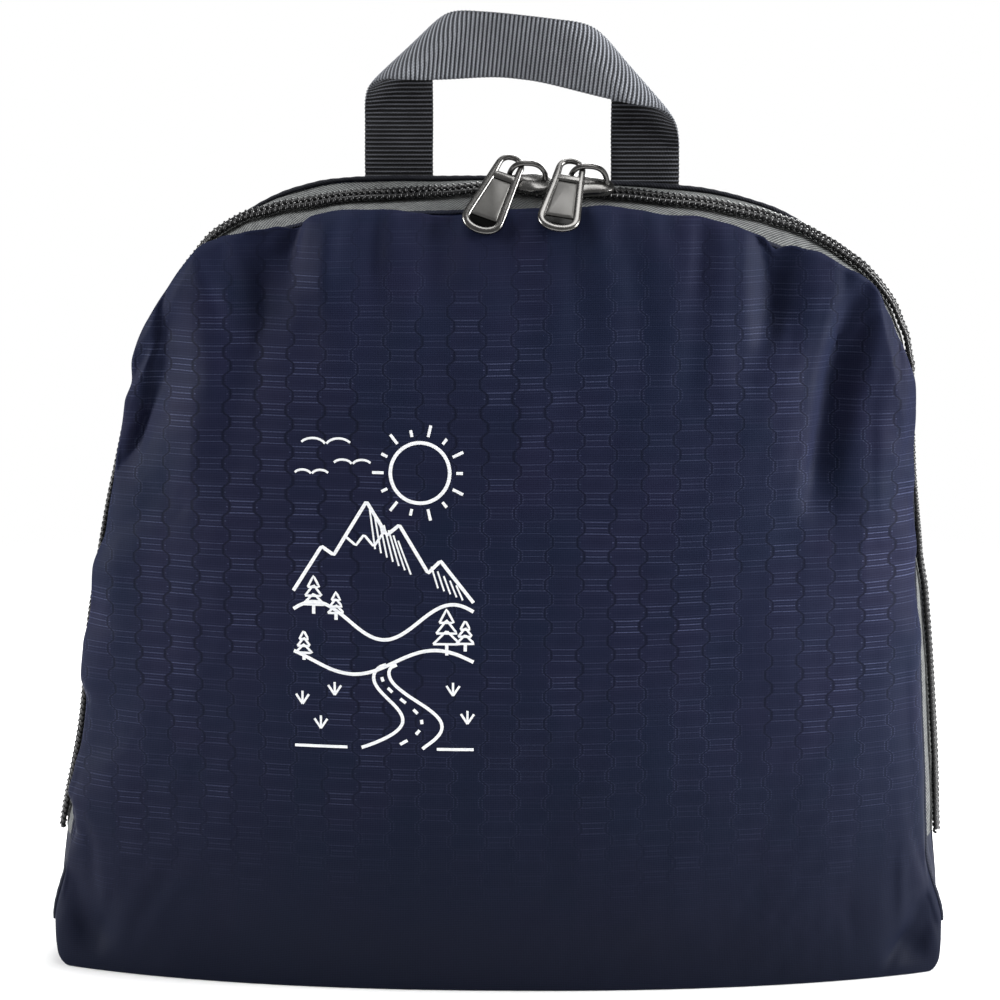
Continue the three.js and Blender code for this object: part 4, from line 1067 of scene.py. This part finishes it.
def sewing():
    """The stitches that show: round the back cloth, and through the strap's two tails."""
    shares, inset = np.linspace(zip_from, zip_to, 300), 2.6
    row = back_seam(shares) - outward(shares) * inset + backwards * 0.12
    stitch_lines([row]).piece("back_seam_stitches", [navy_thread], "binding", angle=80)
    boxes = []
    tail_face = back_seam_y + seam_gap + strap_thickness + 0.1
    margin = 1.6
    for x, _ in (left_leg, right_leg):
        top = back_seam(share_of_top(x))[2] - margin
        left, right, low = x - strap_width / 2 + margin, x + strap_width / 2 - margin, top - strap_tail + 3.4
        corners = spots((left, right, right, left), tail_face, (top, top, low, low))
        boxes += [corners[[j, k]] for j, k in ((0, 1), (1, 2), (2, 3), (3, 0), (0, 2), (3, 1))]
    stitch_lines(boxes, 2.0, 0.7, 0.26).piece("strap_tail_stitches", [grey_thread], "webbing", angle=80)


def packed_bundle():
    """The folded bag that fills the pouch, which is never seen."""
    across, up = grid_shares(40, 34)
    side_room, base_room, front_room, back_room = 10, 1.5, 6.2, 1.6
    shrink = 1 - side_room / half_width
    flat = patch(front_seam, across, up) * shrink
    x, z = flat[..., 0], base_room + flat[..., 2]
    inner_across = mix((1 - shrink) / 2, (1 + shrink) / 2, across)
    front = front_shape(inner_across, up * shrink, False)[..., 1] + front_room
    lumps = 0.6 * ripple(x, z, 40, 81)
    outer = spots(x, np.minimum(0, front) + np.maximum(lumps, 0), z)
    shell = Shell().sheet(outer, spots(x, back_seam_y - back_room, z))
    shell.piece("packed_bundle", [navy], "cloth", "folded_pack")


# The printed picture: a sun over mountains, hills, pines, birds and a winding path
def print_strokes():
    strokes = []

    def line(points, wide=0.85):
        strokes.append((np.array(points, float), wide))

    def arc(x, z, radius, start, end, wide=0.85, flat=1.0):
        angle = np.radians(np.linspace(start, end, max(8, int(abs(end - start) / 8))))
        line(spots(x + radius * np.cos(angle), z + radius * flat * np.sin(angle)), wide)

    sun_x, sun_z, rays = 9, 27, 14
    arc(sun_x, sun_z, 7.2, 0, 360)
    for k in range(rays):
        angle = full_turn * k / rays
        far = 11.6 if k % 2 else 10.4
        line([(sun_x + r * math.cos(angle), sun_z + r * math.sin(angle)) for r in (8.8, far)], 0.7)
    line([(-22, -2), (-15, 9), (-12, 7), (-4, 20), (1, 12), (4, 14.5), (11, 3), (14, 6), (22, -4)])
    line([(-9.2, 11.6), (-6.6, 9.4), (-4.6, 12), (-2.2, 9.2), (0.4, 13)], 0.6)
    for k in range(7):
        x = -3.2 + k * 1.15
        line([(x, 18.2 - k * 1.25), (x + 1.3 + k * 0.3, 8.6 - k * 1.0)], 0.42)
    for k in range(5):
        x = 11.8 + k * 1.5
        line([(x, 4.6 - k * 1.1), (x + 1.6, -0.6 - k * 0.7)], 0.42)
    t = even(40)
    for level, tall, hills, start in ((-9, 4.5, 2.6, 0.6), (-19, 3.2, 2.2, 2.4)):
        line(spots(mix(-22, 22, t), level + tall * np.sin(hills * math.pi * t + start)))
    for x, z, size in ((-17, -7.5, 9), (-11.5, -8.8, 6.6), (15.5, -17, 11), (20, -16, 7.4), (-19.5, -19, 7)):
        line([(x, z), (x, z + size * 0.25)], 0.8)
        for k in range(3):
            low, wide = z + size * (0.25 + 0.24 * k), size * (0.3 - 0.07 * k)
            line([(x - wide, low), (x, low + size * 0.3), (x + wide, low), (x - wide, low)], 0.55)

    def path(t, side):
        middle = 2 + 9 * math.sin(4.6 * t) * (1 - t) ** 0.5
        return middle + side * mix(7.5, 1.3, t ** 0.7), mix(-40.5, -19.6, t)

    for side in (-1, 1):
        line([path(k, side) for k in even(36)], 0.8)
    for k in np.linspace(0.05, 0.8, 7):
        line([path(k, 0), path(k + 0.05, 0)], 0.75)
    for x, z in ((-20, -30), (-15.5, -36), (-12, -27.5), (17, -27), (20.5, -34)):
        for reach in (-1.6, 0, 1.6):
            line([(x, z), (x + reach, z + 3.2 - abs(reach) * 0.5)], 0.55)
    for x, z, size in ((-14, 33, 3.2), (-7.5, 28.5, 2.4), (-17.5, 26, 2.2)):
        arc(x - size, z, size, 20, 150, 0.55, 0.6)
        arc(x + size, z, size, 30, 160, 0.55, 0.6)
    for left, right in ((-22, -9), (13, 22)):
        line([(left, -40.5), (right, -40.5)], 0.7)
    return strokes


def picture(front_grid):
    points, faces = grid_mesh(front_grid)
    tree = BVHTree.FromPolygons([tuple(p) for p in points], faces)

    def on_cloth(x, z, lift):
        hit, normal, _, _ = tree.ray_cast(Vector((x / 1000, -0.2, z / 1000)), Vector(backwards))
        if normal.y > 0:
            normal = -normal
        return np.array(hit + normal * lift / 1000) * 1000 - shift

    shell, step = Shell(), 0.7
    across_stroke = ((-1, -0.15), (-1, 0.06), (0, 0.1), (1, 0.06), (1, -0.15))
    for points, wide in print_strokes():
        run = run_along(points)
        line = walk_along(points, run, np.linspace(0, run[-1], max(2, int(run[-1] / step) + 1)))
        ahead = unit(np.gradient(line, axis=0) + 1e-9)
        aside = spots(-ahead[:, 1], ahead[:, 0]) * wide / 2
        shell.loft(np.array([[on_cloth(*(p + s * k), lift) for k, lift in across_stroke]
                             for p, s in zip(line + picture_middle, aside)]))
    shell.piece("front_picture", [white_ink], "cloth", angle=60)


def studio():
    """A pale floor, soft light from all round, and the camera where the photographer stood."""
    mesh = bpy.data.meshes.new("studio_floor")
    floor_reach, floor_level, sides = 9, -0.0002, 64
    turn = np.linspace(0, full_turn, sides, endpoint=False)
    rim = [(floor_reach * math.cos(a), floor_reach * math.sin(a), floor_level) for a in turn]
    mesh.from_pydata(rim, [], [tuple(range(sides))])
    f = Finish("pale_floor")
    place = f.place()
    x, y, _ = f.parts(place)
    pale = f.shader(f.blend(f.noise(place, 3, 2), (0.86, 0.86, 0.86), (0.88, 0.88, 0.88)), 0.9)
    far = ((x * x + y * y) ** 0.5).step(0.26, 0.6)
    clear = f.node("BsdfTransparent")
    mesh.materials.append(f.close(f.node("MixShader", None, {0: far, 1: pale, 2: clear})))
    in_scene("studio_floor", mesh)
    sky = Finish("studio", "worlds")
    lit, seen = (sky.node("Background", None, {"Color": (1, 1, 1, 1), "Strength": k}) for k in (0.3, 1.0))
    ray = sky.node("LightPath", output="Is Camera Ray")
    bpy.context.scene.world = sky.close(sky.node("MixShader", None, {0: ray, 1: lit, 2: seen}),
                                        "OutputWorld")
    lamp_aim = Vector((0, 0, 0.1))
    for name, place, size, power in (
        ("right", (1.2, -0.17, 0.5), (0.4, 0.8), 40),
        ("left", (-1.2, -0.13, 0.5), (0.4, 0.8), 24),
        ("back", (0.3, 1.2, 0.6), (0.9, 0.6), 16),
        ("top", (0.1, 0.1, 1.3), (0.9, 0.5), 9),
    ):
        lamp = bpy.data.lights.new(name, "AREA")
        lamp.shape = "RECTANGLE"
        lamp.size, lamp.size_y = size
        lamp.energy = power
        light = in_scene(name, lamp)
        light.location = place
        light.rotation_euler = (lamp_aim - Vector(place)).to_track_quat("-Z", "Y").to_euler()
    azimuth, elevation, distance = math.radians(1), math.radians(10.5), 0.6
    target = Vector((0, 0, 0.1225))
    lens = bpy.data.cameras.new("camera")
    lens.lens, lens.sensor_width, lens.clip_start = 86.4, 36, 0.01
    flat = math.cos(elevation)
    away = Vector((math.sin(azimuth) * flat, -math.cos(azimuth) * flat, math.sin(elevation)))
    camera = in_scene("camera", lens)
    camera.location = target + away * distance
    camera.rotation_euler = away.to_track_quat("Z", "Y").to_euler()
    bpy.context.scene.camera = camera
    bpy.context.scene.view_settings.view_transform = "Standard"


studio()
front, front_grid = front_cloth()
back, back_grid = back_cloth()
base, base_grid = base_cloth()
for side, name in ((-1, "front"), (1, "back")):
    zip_tape(name + "_zip_tape", "zip_tape_" + name, side)
    coil_row(name + "_coil", "zip_coil_" + name, side)
seam_edges()
for side, name in ((-1, "left"), (1, "right")):
    slider(side, name)
    pull(side, name)
handle()
sewing()
packed_bundle()
picture(front_grid)
